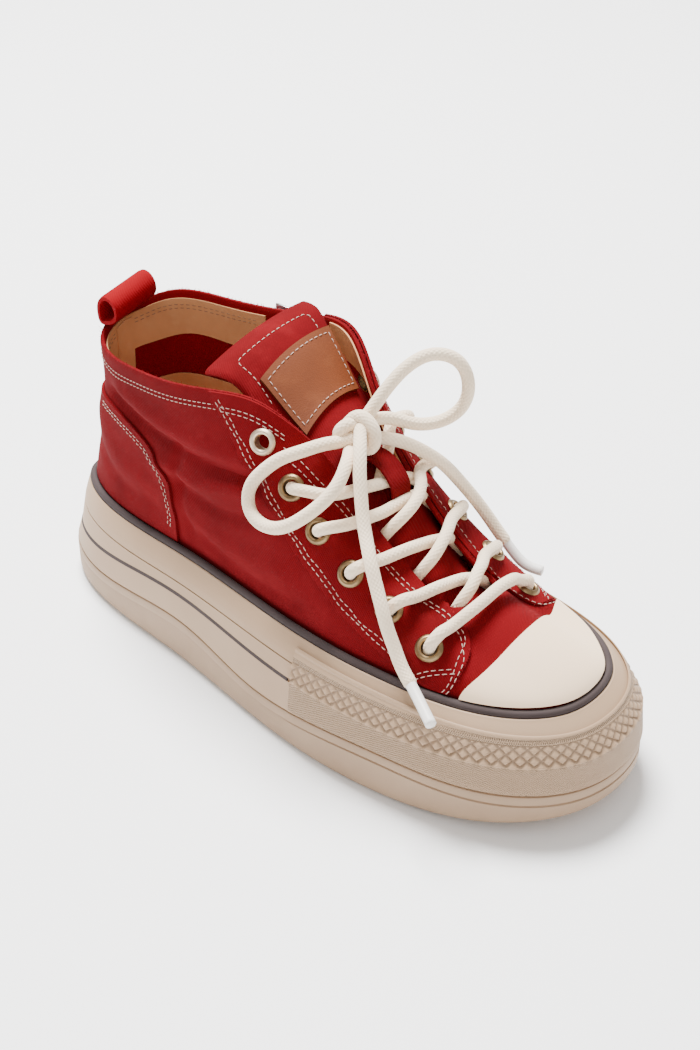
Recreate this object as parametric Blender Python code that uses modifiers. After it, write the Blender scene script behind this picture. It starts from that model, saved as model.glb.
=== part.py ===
"""High-top platform sneaker, right shoe, standing empty on its sole.

The tables are in millimetres. X runs forward from the back of the heel, Y is positive on the
medial (inner) side and Z is the height above the floor. The model itself is in metres, with
its origin on the floor at mid-length, +X to the toe and +Z up.
"""

import math

import bmesh
import bpy
import numpy as np
from mathutils import Matrix, Vector

# ---- Driving sizes, in millimetres -------------------------------------------------------
MM = 0.001
LENGTH = 280.0  # sole, heel to toe
MIDDLE = LENGTH / 2
GAP = 0.3  # between pieces that touch on the real shoe
AROUND = 44  # faces round each ring of the sole
WALL = 2.2  # canvas and lining of the upper
OVERLAY = 1.0  # facing and counter
CAP_WALL = 1.6  # rubber toe cap
PIPING = 3.3  # diameter of the piping cord
BUMPER = 1.5  # thickness of the toe bumper
BUMPER_PROUD = 0.6  # how far it stands out of the sole's side
INSOLE = 3.5
TONGUE_WALL = 2.6
PATCH = 1.0  # leather label on the tongue
WEBBING = 2.0
KEEPER, KEEPER_HALF = 1.0, 4.8  # lace keeper: thickness, half width
OVERLAY_CLEAR = 0.4  # overlays on the upper begin this far above the piping
EYELET_BORE, EYELET_BARREL, EYELET_HOLE, EYELET_FLANGE = 3.0, 3.6, 4.2, 5.6  # radii
SKIRT_TOP = 1.0  # the upper's wall is upright up to this far below the top of the piping
FOXING_DROP = 9.0  # from the top of the piping down to the lower edge of the foxing
SPRING_START, SPRING = 190.0, 8.0  # toe spring: where the sole leaves the floor, and how far
BUMPER_START = 167.0  # the toe bumper begins here, on both sides
STRIPE_END = 165.0  # the pinstripe ends here
LACE = 5.0  # lace diameter
LACE_CLEAR = 0.7  # under the laces
BAR_X, BAR_EDGE = 220.5, 16.0  # the lowest lace, and where it meets the facings' edges
EDGE_LIFT = {"lateral": 0.4, "medial": 2.0}  # more where they turn over the throat's edge
LACE_TURN = [(6.5, 6.3), (2.2, 5.7), (0.3, 1.5)]  # from an eyelet's axis, above the upper
KNOT_AT = (153.4, -0.12)  # x, place across the tongue
KNOT_HALF = (8.5, 7.4, 6.0)  # half sizes: across, along and off the tongue

# Plan of the sole's edge: heel, lateral side, toe, medial side.
SOLE_PLAN = [  # x, y
    (0.0, 0.7), (4.1, -19.0), (18.4, -30.8), (45.3, -39.0), (89.8, -43.1), (134.6, -49.1),
    (175.0, -52.9), (209.7, -51.0), (239.5, -44.8), (262.7, -32.3), (276.4, -14.5),
    (279.3, 6.9), (272.9, 26.8), (257.7, 40.5), (228.0, 48.6), (189.9, 48.3),
    (149.9, 42.2), (105.0, 37.7), (60.0, 37.3), (25.0, 32.2), (6.0, 18.3),
]
TOE_POINT = 11  # row of SOLE_PLAN at the tip of the toe

# Heights and widths that change along the sole.
SIDE = [  # x, top of piping, shelf width, groove height, pinstripe height
    (0.0, 46.5, 8.0, 15.0, 25.0),
    (30.0, 46.0, 8.2, 14.5, 26.5),
    (70.0, 46.5, 8.5, 18.0, 31.0),
    (105.0, 48.0, 8.5, 19.5, 33.0),
    (140.0, 49.3, 8.5, 15.5, 32.5),
    (175.0, 49.5, 8.8, 17.5, 32.0),
    (210.0, 48.8, 9.3, 20.0, 31.5),
    (245.0, 47.6, 10.8, 18.8, 31.0),
    (280.0, 46.5, 13.0, 18.6, 31.0),
]

FLARE = [  # x, how far the side leans in at the piping's height, and at the pinstripe
    (0.0, 6.5, 3.0), (60.0, 5.0, 2.0), (200.0, 4.5, 1.5), (245.0, 5.5, 1.0), (280.0, 6.5, 1.0),
]
FLARE_DROP = 0.8  # lower by this share of the lean

# The upper's top edge, with its lean. `at` runs from 0 at the heel to 1 at the toe along the
# foot line. out1 and rise1 place the wall's lower curve, out2 and drop2 its upper curve.
LATERAL = [  # at, x, y, z, out1, rise1, out2, drop2
    (0.00, 19.5, 0.0, 118.0, -5.0, 16.0, -1.5, 27.0),
    (0.08, 24.0, 13.5, 114.5, -3.0, 16.0, -2.5, 26.0),
    (0.17, 37.0, 21.5, 112.5, -1.0, 18.0, -1.0, 26.0),
    (0.29, 61.0, 28.0, 116.0, 1.5, 18.0, 0.0, 26.0),
    (0.41, 91.0, 31.5, 121.5, 2.0, 16.0, 1.0, 26.0),
    (0.50, 116.0, 29.5, 126.5, 2.0, 14.0, 3.0, 24.0),
    (0.56, 131.0, 25.0, 125.0, 2.5, 12.0, 5.0, 20.0),
    (0.62, 147.0, 18.0, 114.0, 3.0, 10.0, 8.0, 13.0),
    (0.68, 160.0, 16.0, 104.0, 3.0, 9.0, 9.0, 9.0),
    (0.75, 178.0, 15.5, 88.0, 3.0, 7.0, 9.0, 7.0),
    (0.82, 197.0, 15.0, 74.5, 2.5, 6.0, 9.0, 5.0),
    (0.91, 213.5, 13.0, 68.0, 2.0, 6.0, 10.0, 3.0),
]
MEDIAL = [
    (0.08, 23.0, 12.5, 120.5, -3.0, 16.0, -2.5, 26.0),
    (0.17, 35.5, 21.0, 125.5, -1.0, 18.0, -1.0, 26.0),
    (0.29, 59.0, 30.0, 125.0, 1.5, 18.0, 0.0, 26.0),
    (0.40, 87.0, 32.5, 128.5, 2.0, 16.0, 0.0, 26.0),
    (0.48, 108.0, 31.5, 133.5, 2.0, 14.0, 1.0, 24.0),
    (0.55, 128.0, 28.0, 133.5, 2.5, 12.0, 3.0, 20.0),
    (0.61, 145.0, 20.0, 121.0, 3.0, 10.0, 6.0, 15.0),
    (0.68, 160.0, 16.0, 103.5, 3.0, 9.0, 6.0, 13.0),
    (0.75, 178.0, 14.5, 87.0, 2.0, 5.0, 4.5, 13.0),
    (0.82, 197.0, 13.5, 73.5, 1.0, 3.5, 3.5, 12.0),
    (0.91, 213.5, 11.5, 67.0, 1.0, 3.5, 5.0, 9.0),
]
TOE = (1.00, 218.5, 0.0, 69.0, 2.0, 7.0, 14.0, 3.0)


# Seams and edges on the upper's sides, as seen from the side.
COUNTER_EDGE = [  # x, z
    (12.0, 89.0), (31.0, 90.5), (45.0, 90.5), (58.0, 89.0), (69.0, 86.0), (77.0, 80.0),
    (82.5, 71.5), (85.0, 60.0),
]
FACING_EDGE = [  # x, z
    (111.0, 121.0), (117.0, 115.0), (133.0, 99.0), (153.0, 81.0), (168.0, 71.0),
    (185.0, 62.0), (200.0, 56.0), (211.0, 52.0), (219.0, 49.5),
]
FACING_FRONT = [  # x lateral, x medial, distance from the middle: its rounded front end
    (209.0, 209.0, 12.5), (217.0, 216.0, 15.0), (224.0, 221.5, 17.5), (228.5, 225.0, 21.0),
    (230.5, 226.0, 26.0), (230.0, 225.0, 32.0), (228.0, 222.5, 40.0),
]
CAP_SEAM = [  # y, x
    (-40.0, 229.0), (-31.0, 232.0), (-22.0, 235.0), (0.0, 237.5), (22.0, 233.5), (40.0, 225.0),
]
EYELETS = [  # x, z lateral, z medial
    (133.9, 112.0, 114.5), (148.3, 98.3, 101.0), (163.5, 86.6, 87.5),
    (180.9, 76.4, 75.5), (198.7, 68.5, 64.5), (217.0, 60.1, 57.0),
]
LACING = [  # x where a lace leaves one edge, crosses the middle and meets the other edge
    (171.0, 167.0, 162.0),
    (183.0, 180.0, 173.5),
    (196.0, 192.0, 186.0),
    (213.5, 209.0, 203.5),
]
LACE_START = {"medial": -0.52, "lateral": 0.44}  # across the tongue, by the side it goes to
LABEL = [  # front and rear corner of each side: x on the tongue, place across it
    ((141.8, -0.58), (120.9, -0.70)),
    ((136.8, 0.78), (117.8, 0.92)),
]
KEEPER_LINE = [  # x on the tongue, height over it: the strap stands clear of the first crossing
    (158.6, 0.8), (160.4, 3.6), (163.4, 6.5), (167.0, 7.6), (170.8, 6.9), (173.4, 4.0),
    (175.2, 0.4),
]
PULL_LOOP = [  # x, z of the webbing's middle
    (22.0, 120.0), (20.8, 123.4), (21.4, 127.8), (24.2, 130.8), (28.4, 130.9),
    (31.2, 128.2), (31.2, 124.4), (28.8, 121.8), (25.4, 120.4),
]
PULL_WIDTH, PULL_ROLL, PULL_SIDES = 22.0, 0.22, 14
CHAIN_WIDTH, CHAIN_HEIGHT, SLIDER_V, ZIP_LIFT = 5.0, 1.2, 0.94, 0.3
SLIDER, BRIDGE_WIDTH, PIN_HEIGHT = (8.0, 11.0, 2.6), 1.8, 4.15  # width, length, height
TAB_WIDTH, TAB_LENGTH, TAB_THICKNESS, TAB_RIM, TAB_EYE = 5.5, 22.0, 1.2, 1.25, 4.6
STRIPE_GROOVE, STRIPE_DEPTH = 1.8, 0.9
LUG_PITCH, LUG_MARGIN, LUG_SLANT, LUG_GROOVE, LUG_DEPTH = 17.0, 9.0, 18.0, 3.2, 1.6
PIPING_SIDES, EYELET_SIDES, HOLE_SIDES = 6, 8, 8
ZIP_AT = 0.378  # place of the zip along the medial foot line
TONGUE = [  # x, z, half width, droop of the edges, rise of the medial edge
    (227.0, 62.0, 10.0, 3.0, -1.0),
    (214.0, 65.0, 13.0, 5.0, -1.5),
    (200.0, 70.5, 17.0, 8.5, -2.5),
    (185.0, 81.0, 20.5, 12.0, -2.5),
    (170.0, 94.0, 23.5, 14.0, -1.5),
    (158.0, 105.0, 24.5, 14.0, 0.0),
    (147.0, 112.5, 24.5, 12.0, 1.0),
    (137.0, 119.5, 24.0, 9.0, 2.0),
    (127.0, 128.5, 24.0, 7.0, 3.0),
    (118.0, 135.5, 24.5, 5.0, 3.5),
    (110.0, 138.5, 26.5, 3.5, 4.5),
    (102.0, 137.5, 27.5, 3.0, 5.0),
]

# Routes of the bow's four cords, from the knot.
LOOP_LATERAL = [  # x, y, z
    (155.4, -12.5, 113.5), (154.1, -18.5, 114.5), (150.3, -25.0, 113.2), (145.2, -30.4, 110.5),
    (140.0, -35.4, 105.0), (136.8, -39.2, 98.0), (138.8, -41.5, 91.0), (147.0, -43.0, 88.5),
    (157.0, -42.5, 91.5), (164.5, -39.5, 97.5), (168.8, -33.2, 103.2), (169.8, -26.3, 108.4),
    (167.5, -20.2, 111.5),
    (164.0, -14.9, 111.6), (160.9, -11.1, 110.6),
]
LOOP_MEDIAL = [
    (157.5, 1.9, 119.0), (160.0, 10.5, 128.5), (163.5, 18.5, 136.0), (169.0, 26.5, 139.5),
    (175.5, 32.5, 136.5), (179.0, 34.5, 127.5), (176.5, 33.0, 116.5), (170.5, 27.5, 111.0),
    (164.5, 19.5, 111.5), (159.6, 10.7, 115.6), (157.5, 5.4, 116.3),
]
END_LATERAL = [
    (163.6, -8.2, 116.9), (168.8, -13.9, 114.9), (172.9, -18.5, 110.0), (176.5, -21.8, 103.6),
    (180.0, -24.7, 97.6), (185.6, -28.7, 91.2), (191.8, -33.2, 86.6), (197.0, -35.9, 80.0),
    (201.6, -38.2, 74.5), (205.5, -39.3, 67.5), (209.3, -39.8, 61.3), (213.4, -40.9, 56.4),
    (218.0, -42.0, 52.9), (225.0, -45.0, 50.4), (235.6, -50.4, 48.0),
]
END_MEDIAL = [
    (160.3, 3.4, 110.7), (166.4, 9.3, 109.2), (172.4, 15.5, 105.0), (177.2, 21.5, 98.9),
    (180.3, 28.0, 90.0), (183.5, 33.5, 81.0), (187.5, 37.5, 72.5), (192.0, 40.0, 65.0),
    (197.5, 41.5, 58.5), (203.5, 43.0, 53.5), (210.0, 45.5, 52.0),
]


# ---- Curves ------------------------------------------------------------------------------
class Spline:
    """A smooth (cubic) curve through rows of values at rising knots; `period` closes it."""

    def __init__(self, knots, rows, period=None):
        self.period = period
        t = np.array(knots, float)
        p = np.array(rows, float).reshape(len(t), -1)
        if period:
            t, p = np.append(t, t[0] + period), np.vstack([p, p[:1]])
        n, h = len(t), np.diff(t)
        slope = np.diff(p, axis=0) / h[:, None]
        m = np.zeros((n, n))
        r = np.zeros((n, p.shape[1]))
        for i in range(1, n - 1):
            m[i, i - 1 : i + 2] = h[i - 1], 2 * (h[i - 1] + h[i]), h[i]
            r[i] = 6 * (slope[i] - slope[i - 1])
        if period:
            m[0, [0, 1, n - 2, n - 1]] = 2 * h[0], h[0], h[-1], 2 * h[-1]
            r[0] = 6 * (slope[0] - slope[-1])
            m[-1, [0, -1]] = 1, -1
        else:
            m[0, 0] = m[-1, -1] = 1
        self.t, self.p, self.h, self.curve = t, p, h, np.linalg.solve(m, r)

    def __call__(self, at):
        at = np.asarray(at, float)
        if self.period:
            at = (at - self.t[0]) % self.period + self.t[0]
        at = np.clip(at, self.t[0], self.t[-1])
        i = np.clip(np.searchsorted(self.t, at, side="right") - 1, 0, len(self.h) - 1)
        h = self.h[i][..., None]
        b = (at[..., None] - self.t[i][..., None]) / h
        a = 1 - b
        bend = (a**3 - a) * self.curve[i] + (b**3 - b) * self.curve[i + 1]
        return a * self.p[i] + b * self.p[i + 1] + bend * h**2 / 6


def through(points, closed=False):
    """A smooth curve through points, run by its share of the chord length from 0 to 1."""
    p = np.array(points, float)
    ends = np.vstack([p, p[:1]]) if closed else p
    t = np.append(0, np.cumsum(np.linalg.norm(np.diff(ends, axis=0), axis=1)))
    t /= t[-1]
    return Spline(t[:-1], p, 1.0) if closed else Spline(t, p)


def even(curve, count, start=0.0, end=1.0):
    """Points at equal steps along a curve."""
    fine = curve(np.linspace(start, end, 40 * count))
    run = np.append(0, np.cumsum(np.linalg.norm(np.diff(fine, axis=0), axis=1)))
    steps = np.linspace(0, run[-1], count)
    return np.stack([np.interp(steps, run, fine[:, k]) for k in range(fine.shape[1])], axis=1)


# ---- The shoe's own forms ----------------------------------------------------------------
PLAN = through(SOLE_PLAN, closed=True)
TOE_AT = PLAN.t[TOE_POINT]
side_table = np.array(SIDE)


def along_sole(column, x):
    """A value of the SIDE table at x: 1 piping, 2 shelf, 3 groove, 4 pinstripe."""
    return Spline(side_table[:, 0], side_table[:, column])(x)[..., 0]


def plan(u, inset):
    """Point of the sole's edge moved inwards. u: 0 heel, 1 toe by the lateral side, 2 heel."""
    u = np.asarray(u, float) % 2
    t = np.where(u < 1, u * TOE_AT, TOE_AT + (u - 1) * (1 - TOE_AT))
    step = 1e-3
    along = PLAN(t + step) - PLAN(t - step)
    along /= np.linalg.norm(along, axis=-1)[..., None]
    inward = np.stack([-along[..., 1], along[..., 0]], axis=-1)
    return PLAN(t) + inward * np.asarray(inset)[..., None], inward


def edge_x(u):
    return plan(u, np.zeros(np.shape(u)))[0][..., 0]


def spring(x):
    """Height of the sole's underside above the floor."""
    return SPRING * np.clip((x - SPRING_START) / (LENGTH - SPRING_START), 0, 1) ** 2


def foot_line(u):
    """Where the upper comes out of the sole, beside the piping."""
    x = edge_x(u)
    flat, _ = plan(u, along_sole(2, x) + PIPING + 2 * GAP)
    return np.concatenate([flat, (along_sole(1, x) - SKIRT_TOP)[..., None]], axis=-1)


def upper_guides():
    """Closed curves over u: the top edge, and the offsets of the wall's two inner curves."""
    rows = [(r[0], r[1], -r[2], *r[3:]) for r in LATERAL]
    rows += [TOE]
    rows += [(2 - r[0], *r[1:]) for r in reversed(MEDIAL)]
    table = np.array(rows)
    return Spline(table[:, 0], table[:, 1:4], 2.0), Spline(table[:, 0], table[:, 4:], 2.0)


TOP, LEAN = upper_guides()


def upper(u, v, out=0.0):
    """The upper's outer face: v is -1 at the foot of the skirt, 0 at the foot line and 1 at
    the top edge. `out` moves it off along its normal."""
    u, v = np.broadcast_arrays(np.asarray(u, float), np.asarray(v, float))
    if np.any(out):
        step = 1e-3
        du = upper(u + step, v) - upper(u - step, v)
        dv = upper(u, np.minimum(v + step, 1)) - upper(u, v - step)
        normal = np.cross(du, dv)
        normal /= np.linalg.norm(normal, axis=-1)[..., None]
        return upper(u, v) + normal * np.asarray(out)[..., None]
    foot, top, lean = foot_line(u), TOP(u), LEAN(u)
    _, inward = plan(u, np.zeros(u.shape))
    outward = np.concatenate([-inward, np.zeros(u.shape + (1,))], axis=-1)
    up = np.array([0.0, 0.0, 1.0])
    low = foot + outward * lean[..., 0:1] + up * lean[..., 1:2]
    high = top + outward * lean[..., 2:3] - up * lean[..., 3:4]
    w = np.clip(v, 0, 1)[..., None]
    skirt = up * (FOXING_DROP - SKIRT_TOP) * np.minimum(v, 0)[..., None]
    lower = (1 - w) ** 3 * foot + 3 * w * (1 - w) ** 2 * low
    return lower + 3 * w**2 * (1 - w) * high + w**3 * top + skirt


def nearest(u_from, u_to, axes, target):
    """(u, v) of the point of the upper nearest to a target as seen along one axis."""
    u, v = np.meshgrid(np.linspace(u_from, u_to, 401), np.linspace(0, 1, 201), indexing="ij")
    miss = np.linalg.norm(upper(u, v)[..., axes] - target, axis=-1)
    best = np.unravel_index(np.argmin(miss), miss.shape)
    return u[best], v[best]


def find_side(side, x, z):
    """(u, v) on one side of the upper, as seen from that side."""
    return nearest(*((0.0, 1.0) if side == "lateral" else (1.0, 2.0)), [0, 2], (x, z))


def tongue(s, q, out=0.0):
    """The tongue's top face. s: 0 at its root, 1 at its top; q: -1 lateral to 1 medial edge."""
    s, q = np.broadcast_arrays(np.asarray(s, float), np.asarray(q, float))
    if np.any(out):
        step = 1e-3
        ds = tongue(np.minimum(s + step, 1), q) - tongue(np.maximum(s - step, 0), q)
        dq = tongue(s, q + step) - tongue(s, q - step)
        normal = np.cross(dq, ds)
        normal /= np.linalg.norm(normal, axis=-1)[..., None]
        return tongue(s, q) + normal * np.asarray(out)[..., None]
    row = TONGUE_LINE(s)
    z = row[..., 1] - row[..., 3] * q**2 + row[..., 4] * q
    return np.stack([row[..., 0], row[..., 2] * q, z], axis=-1)


def tongue_line():
    rows = np.array(TONGUE)
    run = np.append(0, np.cumsum(np.linalg.norm(np.diff(rows[:, :2], axis=0), axis=1)))
    return Spline(run / run[-1], rows)


TONGUE_LINE = tongue_line()


def tongue_at(x):
    """s where the tongue's middle passes x."""
    s = np.linspace(0, 1, 1001)
    return s[np.argmin(np.abs(TONGUE_LINE(s)[:, 0] - x))]


# ---- Building meshes ---------------------------------------------------------------------
def place(points):
    """Points of the tables, in metres in the model's own frame."""
    return (np.asarray(points, float) - (MIDDLE, 0, 0)) * MM


def finish(name, rgb, roughness, metallic=0.0):
    material = bpy.data.materials.new(name)
    material.use_nodes = True
    shader = material.node_tree.nodes["Principled BSDF"]
    shader.inputs["Base Color"].default_value = (*rgb, 1)
    shader.inputs["Roughness"].default_value = roughness
    shader.inputs["Metallic"].default_value = metallic
    return material


def solid(name, points, faces, material, sharp=40.0):
    """An object of the shoe from points in the tables' frame and the faces between them."""
    mesh = bpy.data.meshes.new(name)
    mesh.from_pydata([tuple(p) for p in place(points).reshape(-1, 3)], [], faces)
    form = bmesh.new()
    form.from_mesh(mesh)
    bmesh.ops.remove_doubles(form, verts=form.verts, dist=1e-6)
    bmesh.ops.recalc_face_normals(form, faces=form.faces)
    form.to_mesh(mesh)
    form.free()
    mesh.materials.append(material)
    mesh.shade_smooth()
    mesh.set_sharp_from_angle(angle=math.radians(sharp))
    made = bpy.data.objects.new(name, mesh)
    SHOE.objects.link(made)
    return made


def grid_faces(rows, columns, wrap_rows=False, wrap_columns=False, start=0):
    """Quads over points stored row by row."""
    faces = []
    for i in range(rows if wrap_rows else rows - 1):
        for j in range(columns if wrap_columns else columns - 1):
            a, b = start + i * columns, start + (i + 1) % rows * columns
            k = (j + 1) % columns
            faces.append((a + j, a + k, b + k, b + j))
    return faces


def shell(name, outer, inner, material, wrap=False, sharp=40.0):
    """Two like grids of points joined round their rims. `wrap` closes the first direction."""
    rows, columns = outer.shape[:2]
    half = rows * columns
    quads = grid_faces(rows, columns, wrap) + grid_faces(rows, columns, wrap, start=half)
    # Split alike, so that layers over the same stations stay parallel.
    faces = [corner for a, b, c, d in quads for corner in ((a, b, c), (a, c, d))]
    last = (rows - 1) * columns
    for i in range(rows if wrap else rows - 1):
        a, b = i * columns, (i + 1) % rows * columns
        for j in (0, columns - 1):
            faces.append((a + j, b + j, b + j + half, a + j + half))
    for j in range(0 if wrap else columns - 1):
        for a in (0, last):
            faces.append((a + j, a + j + 1, a + j + 1 + half, a + j + half))
    return solid(name, np.concatenate([outer.reshape(-1, 3), inner.reshape(-1, 3)]), faces,
                 material, sharp)


def sweep(name, sections, material, closed=True, sharp=40.0):
    """A closed profile carried along the sole's edge; open ends are capped."""
    rows, columns = sections.shape[:2]
    faces = grid_faces(rows, columns, closed, True)
    if not closed:
        faces += [tuple(range(columns)), tuple((rows - 1) * columns + j for j in range(columns))]
    return solid(name, sections.reshape(-1, 3), faces, material, sharp)


def layer(name, rings, material, sharp=40.0):
    """A layer of the sole: rings from its lower face up to its upper one, and both faces."""
    rows, columns = rings.shape[:2]
    faces = grid_faces(rows, columns, False, True)
    for start in (0, (rows - 1) * columns):
        for k in range(columns // 2):
            far, near = (columns - k) % columns, columns - k - 1
            corners = dict.fromkeys((start + k, start + k + 1, start + near, start + far))
            faces.append(tuple(corners))
    return solid(name, rings.reshape(-1, 3), faces, material, sharp)


def ring(u, inset, height):
    """Points round the sole at an inset from its edge, at heights given for each.

    The side flares: above the groove it leans in towards the piping, and comes down with it.
    """
    x = edge_x(u)
    levels = (along_sole(3, x), along_sole(4, x) + STRIPE_GROOVE / 2, along_sole(1, x))
    full, middle = (np.interp(x, *np.transpose(FLARE)[[0, k]]) for k in (1, 2))
    low = np.clip((height - levels[0]) / (levels[1] - levels[0]), 0, 1)
    high = np.clip((height - levels[1]) / (levels[2] - levels[1]), 0, 1)
    lean = (low * middle + high * (full - middle)) * np.clip(1 - inset / along_sole(2, x), 0, 1.1)
    flat, _ = plan(u, np.broadcast_to(inset, u.shape) + lean)
    height = np.broadcast_to(height, u.shape) - FLARE_DROP * lean
    return np.concatenate([flat, height[:, None]], axis=1)


def cut(target, cutters, solver="EXACT"):
    modifier = target.modifiers.new("cut", "BOOLEAN")
    modifier.operation = "DIFFERENCE"
    modifier.object = cutters
    modifier.solver = solver


def join(target, added):
    modifier = target.modifiers.new("join", "BOOLEAN")
    modifier.operation = "UNION"
    modifier.object = added


def cutter(name, form):
    """A hidden object that Booleans cut with, from a bmesh in the model's frame."""
    mesh = bpy.data.meshes.new(name)
    form.to_mesh(mesh)
    form.free()
    made = bpy.data.objects.new(name, mesh)
    made.hide_render = True
    made.display_type = "WIRE"
    CUTTERS.objects.link(made)
    return made


def facing_matrix(point, normal, along):
    """A frame at a point with Z along the normal and X near `along`."""
    z = Vector(normal).normalized()
    x = Vector(along) - z * Vector(along).dot(z)
    x.normalize()
    frame = Matrix((x, z.cross(x), z)).transposed().to_4x4()
    return Matrix.Translation(Vector(point)) @ frame


# ---- Stations round the sole -------------------------------------------------------------
def station(x, medial=False):
    """u where the sole's edge passes x on one side."""
    u = np.linspace(1, 2, 2001) if medial else np.linspace(0, 1, 2001)
    return u[np.argmin(np.abs(edge_x(u) - x))]


def stations():
    """Stations from heel to toe to heel, closer at both ends, with a pair at the bumper's ends."""
    half = AROUND // 2
    rear_count = half // 2 + 1
    step = 0.004
    sides = []
    for start in (station(BUMPER_START), 2 - station(BUMPER_START, medial=True)):
        rear = start * np.linspace(0, 1, rear_count) ** 1.25
        ahead = 1 - (1 - start - step) * np.linspace(1, 0, half + 1 - rear_count) ** 1.15
        sides.append(np.concatenate([rear, ahead]))
    return np.concatenate([sides[0], 2 - sides[1][-2:0:-1]]), rear_count


U, REAR = stations()
N = len(U)
IN_BUMPER = (np.arange(N) >= REAR) & (np.arange(N) <= N - REAR)
EDGE_X = edge_x(U)
TOP_Z, SHELF, GROOVE, STRIPE = (along_sole(k, EDGE_X) for k in (1, 2, 3, 4))
DECK = TOP_Z - FOXING_DROP - GAP
INSIDE = SHELF + PIPING + 2 * GAP + WALL + 2 * GAP  # inset of the insole


def bumper_stations():
    return np.flatnonzero(IN_BUMPER)


# ---- Sole --------------------------------------------------------------------------------
def make_outsole(material):
    low = spring(EDGE_X)
    rings = [(3.0, low), (0.6, low + 1.2), (0.0, low + 3.2), (0.0, GROOVE - 0.9), (0.8, GROOVE)]
    made = layer("outsole", np.array([ring(U, *each) for each in rings]), material)
    form = bmesh.new()
    for x in (*np.arange(22.0, 76.0, LUG_PITCH), *np.arange(123.0, 260.0, LUG_PITCH)):
        for medial in (False, True):
            edge = plan(station(x, medial), np.array(LUG_MARGIN))[0][1]
            add_tread_groove(form, x, 3.0 if medial else -3.0, edge)
    cut(made, cutter("tread_grooves", form))


def add_tread_groove(form, x, start, end):
    """One slanting groove in the tread, from near the middle to near the edge."""
    slope = math.atan2(spring(x + 1) - spring(x - 1), 2.0)
    middle = Vector(place((x, (start + end) / 2, spring(x))))
    slant = math.radians(LUG_SLANT if end > 0 else -LUG_SLANT)
    turn = Matrix.Rotation(-slope, 4, "Y") @ Matrix.Rotation(slant, 4, "Z")
    size = Vector((LUG_GROOVE, abs(end - start), 2 * LUG_DEPTH)) * MM
    bmesh.ops.create_cube(
        form, size=1.0, matrix=Matrix.Translation(middle) @ turn @ Matrix.Diagonal((*size, 1))
    )


def make_midsole(material):
    wall = np.where(IN_BUMPER, BUMPER - BUMPER_PROUD + GAP, 0.0)
    low = GROOVE + GAP
    groove = STRIPE_GROOVE / 2
    rings = [
        (wall + 0.8, low), (wall, low + 0.9), (wall, STRIPE - groove),
        (wall + STRIPE_DEPTH, STRIPE - groove), (wall + STRIPE_DEPTH, STRIPE + groove),
        (wall, STRIPE + groove), (wall, DECK), (INSIDE + 0.4, DECK),
    ]
    layer("midsole", np.array([ring(U, *each) for each in rings]), material)


def make_foxing(material):
    """The rolled band between the sole's side and the piping."""
    inner = SHELF + PIPING + GAP
    t = TOP_Z
    side = np.where(IN_BUMPER, BUMPER - BUMPER_PROUD + GAP, 0.0)
    rim = np.where(IN_BUMPER, 3.3, 1.4)
    bands = [
        (side, t - FOXING_DROP), (side, t - 6.2), (rim, t - 4.0), (SHELF - 3.0, t - 2.0),
        (SHELF - GAP, t - 2.5),
        (SHELF - GAP, t - PIPING - GAP), (inner, t - PIPING - GAP), (inner, t - FOXING_DROP),
    ]
    sweep("foxing", np.stack([ring(U, *each) for each in bands], axis=1), material)


def make_piping(material):
    turn = np.linspace(0, 2 * math.pi, PIPING_SIDES, endpoint=False)
    radius = PIPING / 2
    bands = [(SHELF + radius + radius * math.cos(a), TOP_Z - radius + radius * math.sin(a))
             for a in turn]
    sweep("piping", np.stack([ring(U, *each) for each in bands], axis=1), material, sharp=80.0)


def make_bumper(material):
    """Raised band round the toe, with a rib along its top edge."""
    at = bumper_stations()
    t, low = TOP_Z[at], GROOVE[at] + GAP + 1.2
    kink = STRIPE[at] + STRIPE_GROOVE / 2
    out, back = -BUMPER_PROUD, BUMPER - BUMPER_PROUD
    bands = [
        (back, low), (out, low + 0.4), (out, kink), (out, t - 6.2), (out - 0.5, t - 5.0),
        (out, t - 2.8), (1.0, t - 1.8), (2.4, t - 2.6), (back, t - 4.6), (back, kink),
    ]
    sections = np.stack([ring(U[at], *each) for each in bands], axis=1)
    sweep("toe_bumper", sections, material, closed=False)


def make_pinstripe(material):
    """Dark line let into a groove along both sides and round the heel."""
    lateral = np.append(U[1 : REAR - 1], station(STRIPE_END))
    medial = np.append(station(STRIPE_END, medial=True), U[N - REAR + 2 :])
    u = np.concatenate([medial - 2, [0.0], lateral])
    z = along_sole(4, edge_x(u))
    half = STRIPE_GROOVE / 2 - GAP
    bands = [(-0.1, z - half), (-0.1, z + half), (STRIPE_DEPTH - GAP, z + half),
             (STRIPE_DEPTH - GAP, z - half)]
    sections = np.stack([ring(u, *each) for each in bands], axis=1)
    sweep("pinstripe", sections, material, closed=False)


def make_insole(material):
    low = TOP_Z - FOXING_DROP
    rings = [(INSIDE + 0.4, low), (INSIDE + 0.4, low + INSOLE)]
    layer("insole", np.array([ring(U, *each) for each in rings]), material)


# ---- Upper and what is sewn on it --------------------------------------------------------
def wall_rows():
    """v of the upper's rows at each station: the skirt, then from just above the piping up."""
    fine = np.linspace(0, 0.4, 401)
    heights = upper(U[:, None], fine[None, :])[..., 2]
    above_piping = fine[np.argmax(heights > TOP_Z[:, None] + OVERLAY_CLEAR, axis=1)]
    share = np.array([0.0, 0.17, 0.36, 0.56, 0.74, 0.88, 1.0])
    wall = above_piping[:, None] + (1 - above_piping[:, None]) * share
    return np.concatenate([np.full((N, 1), -1.0), np.zeros((N, 1)), wall], axis=1)


def make_upper(material):
    v = wall_rows()
    u = np.repeat(U[:, None], v.shape[1], axis=1)
    return shell("upper", upper(u, v), upper(u, v, -WALL), material, wrap=True)


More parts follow.
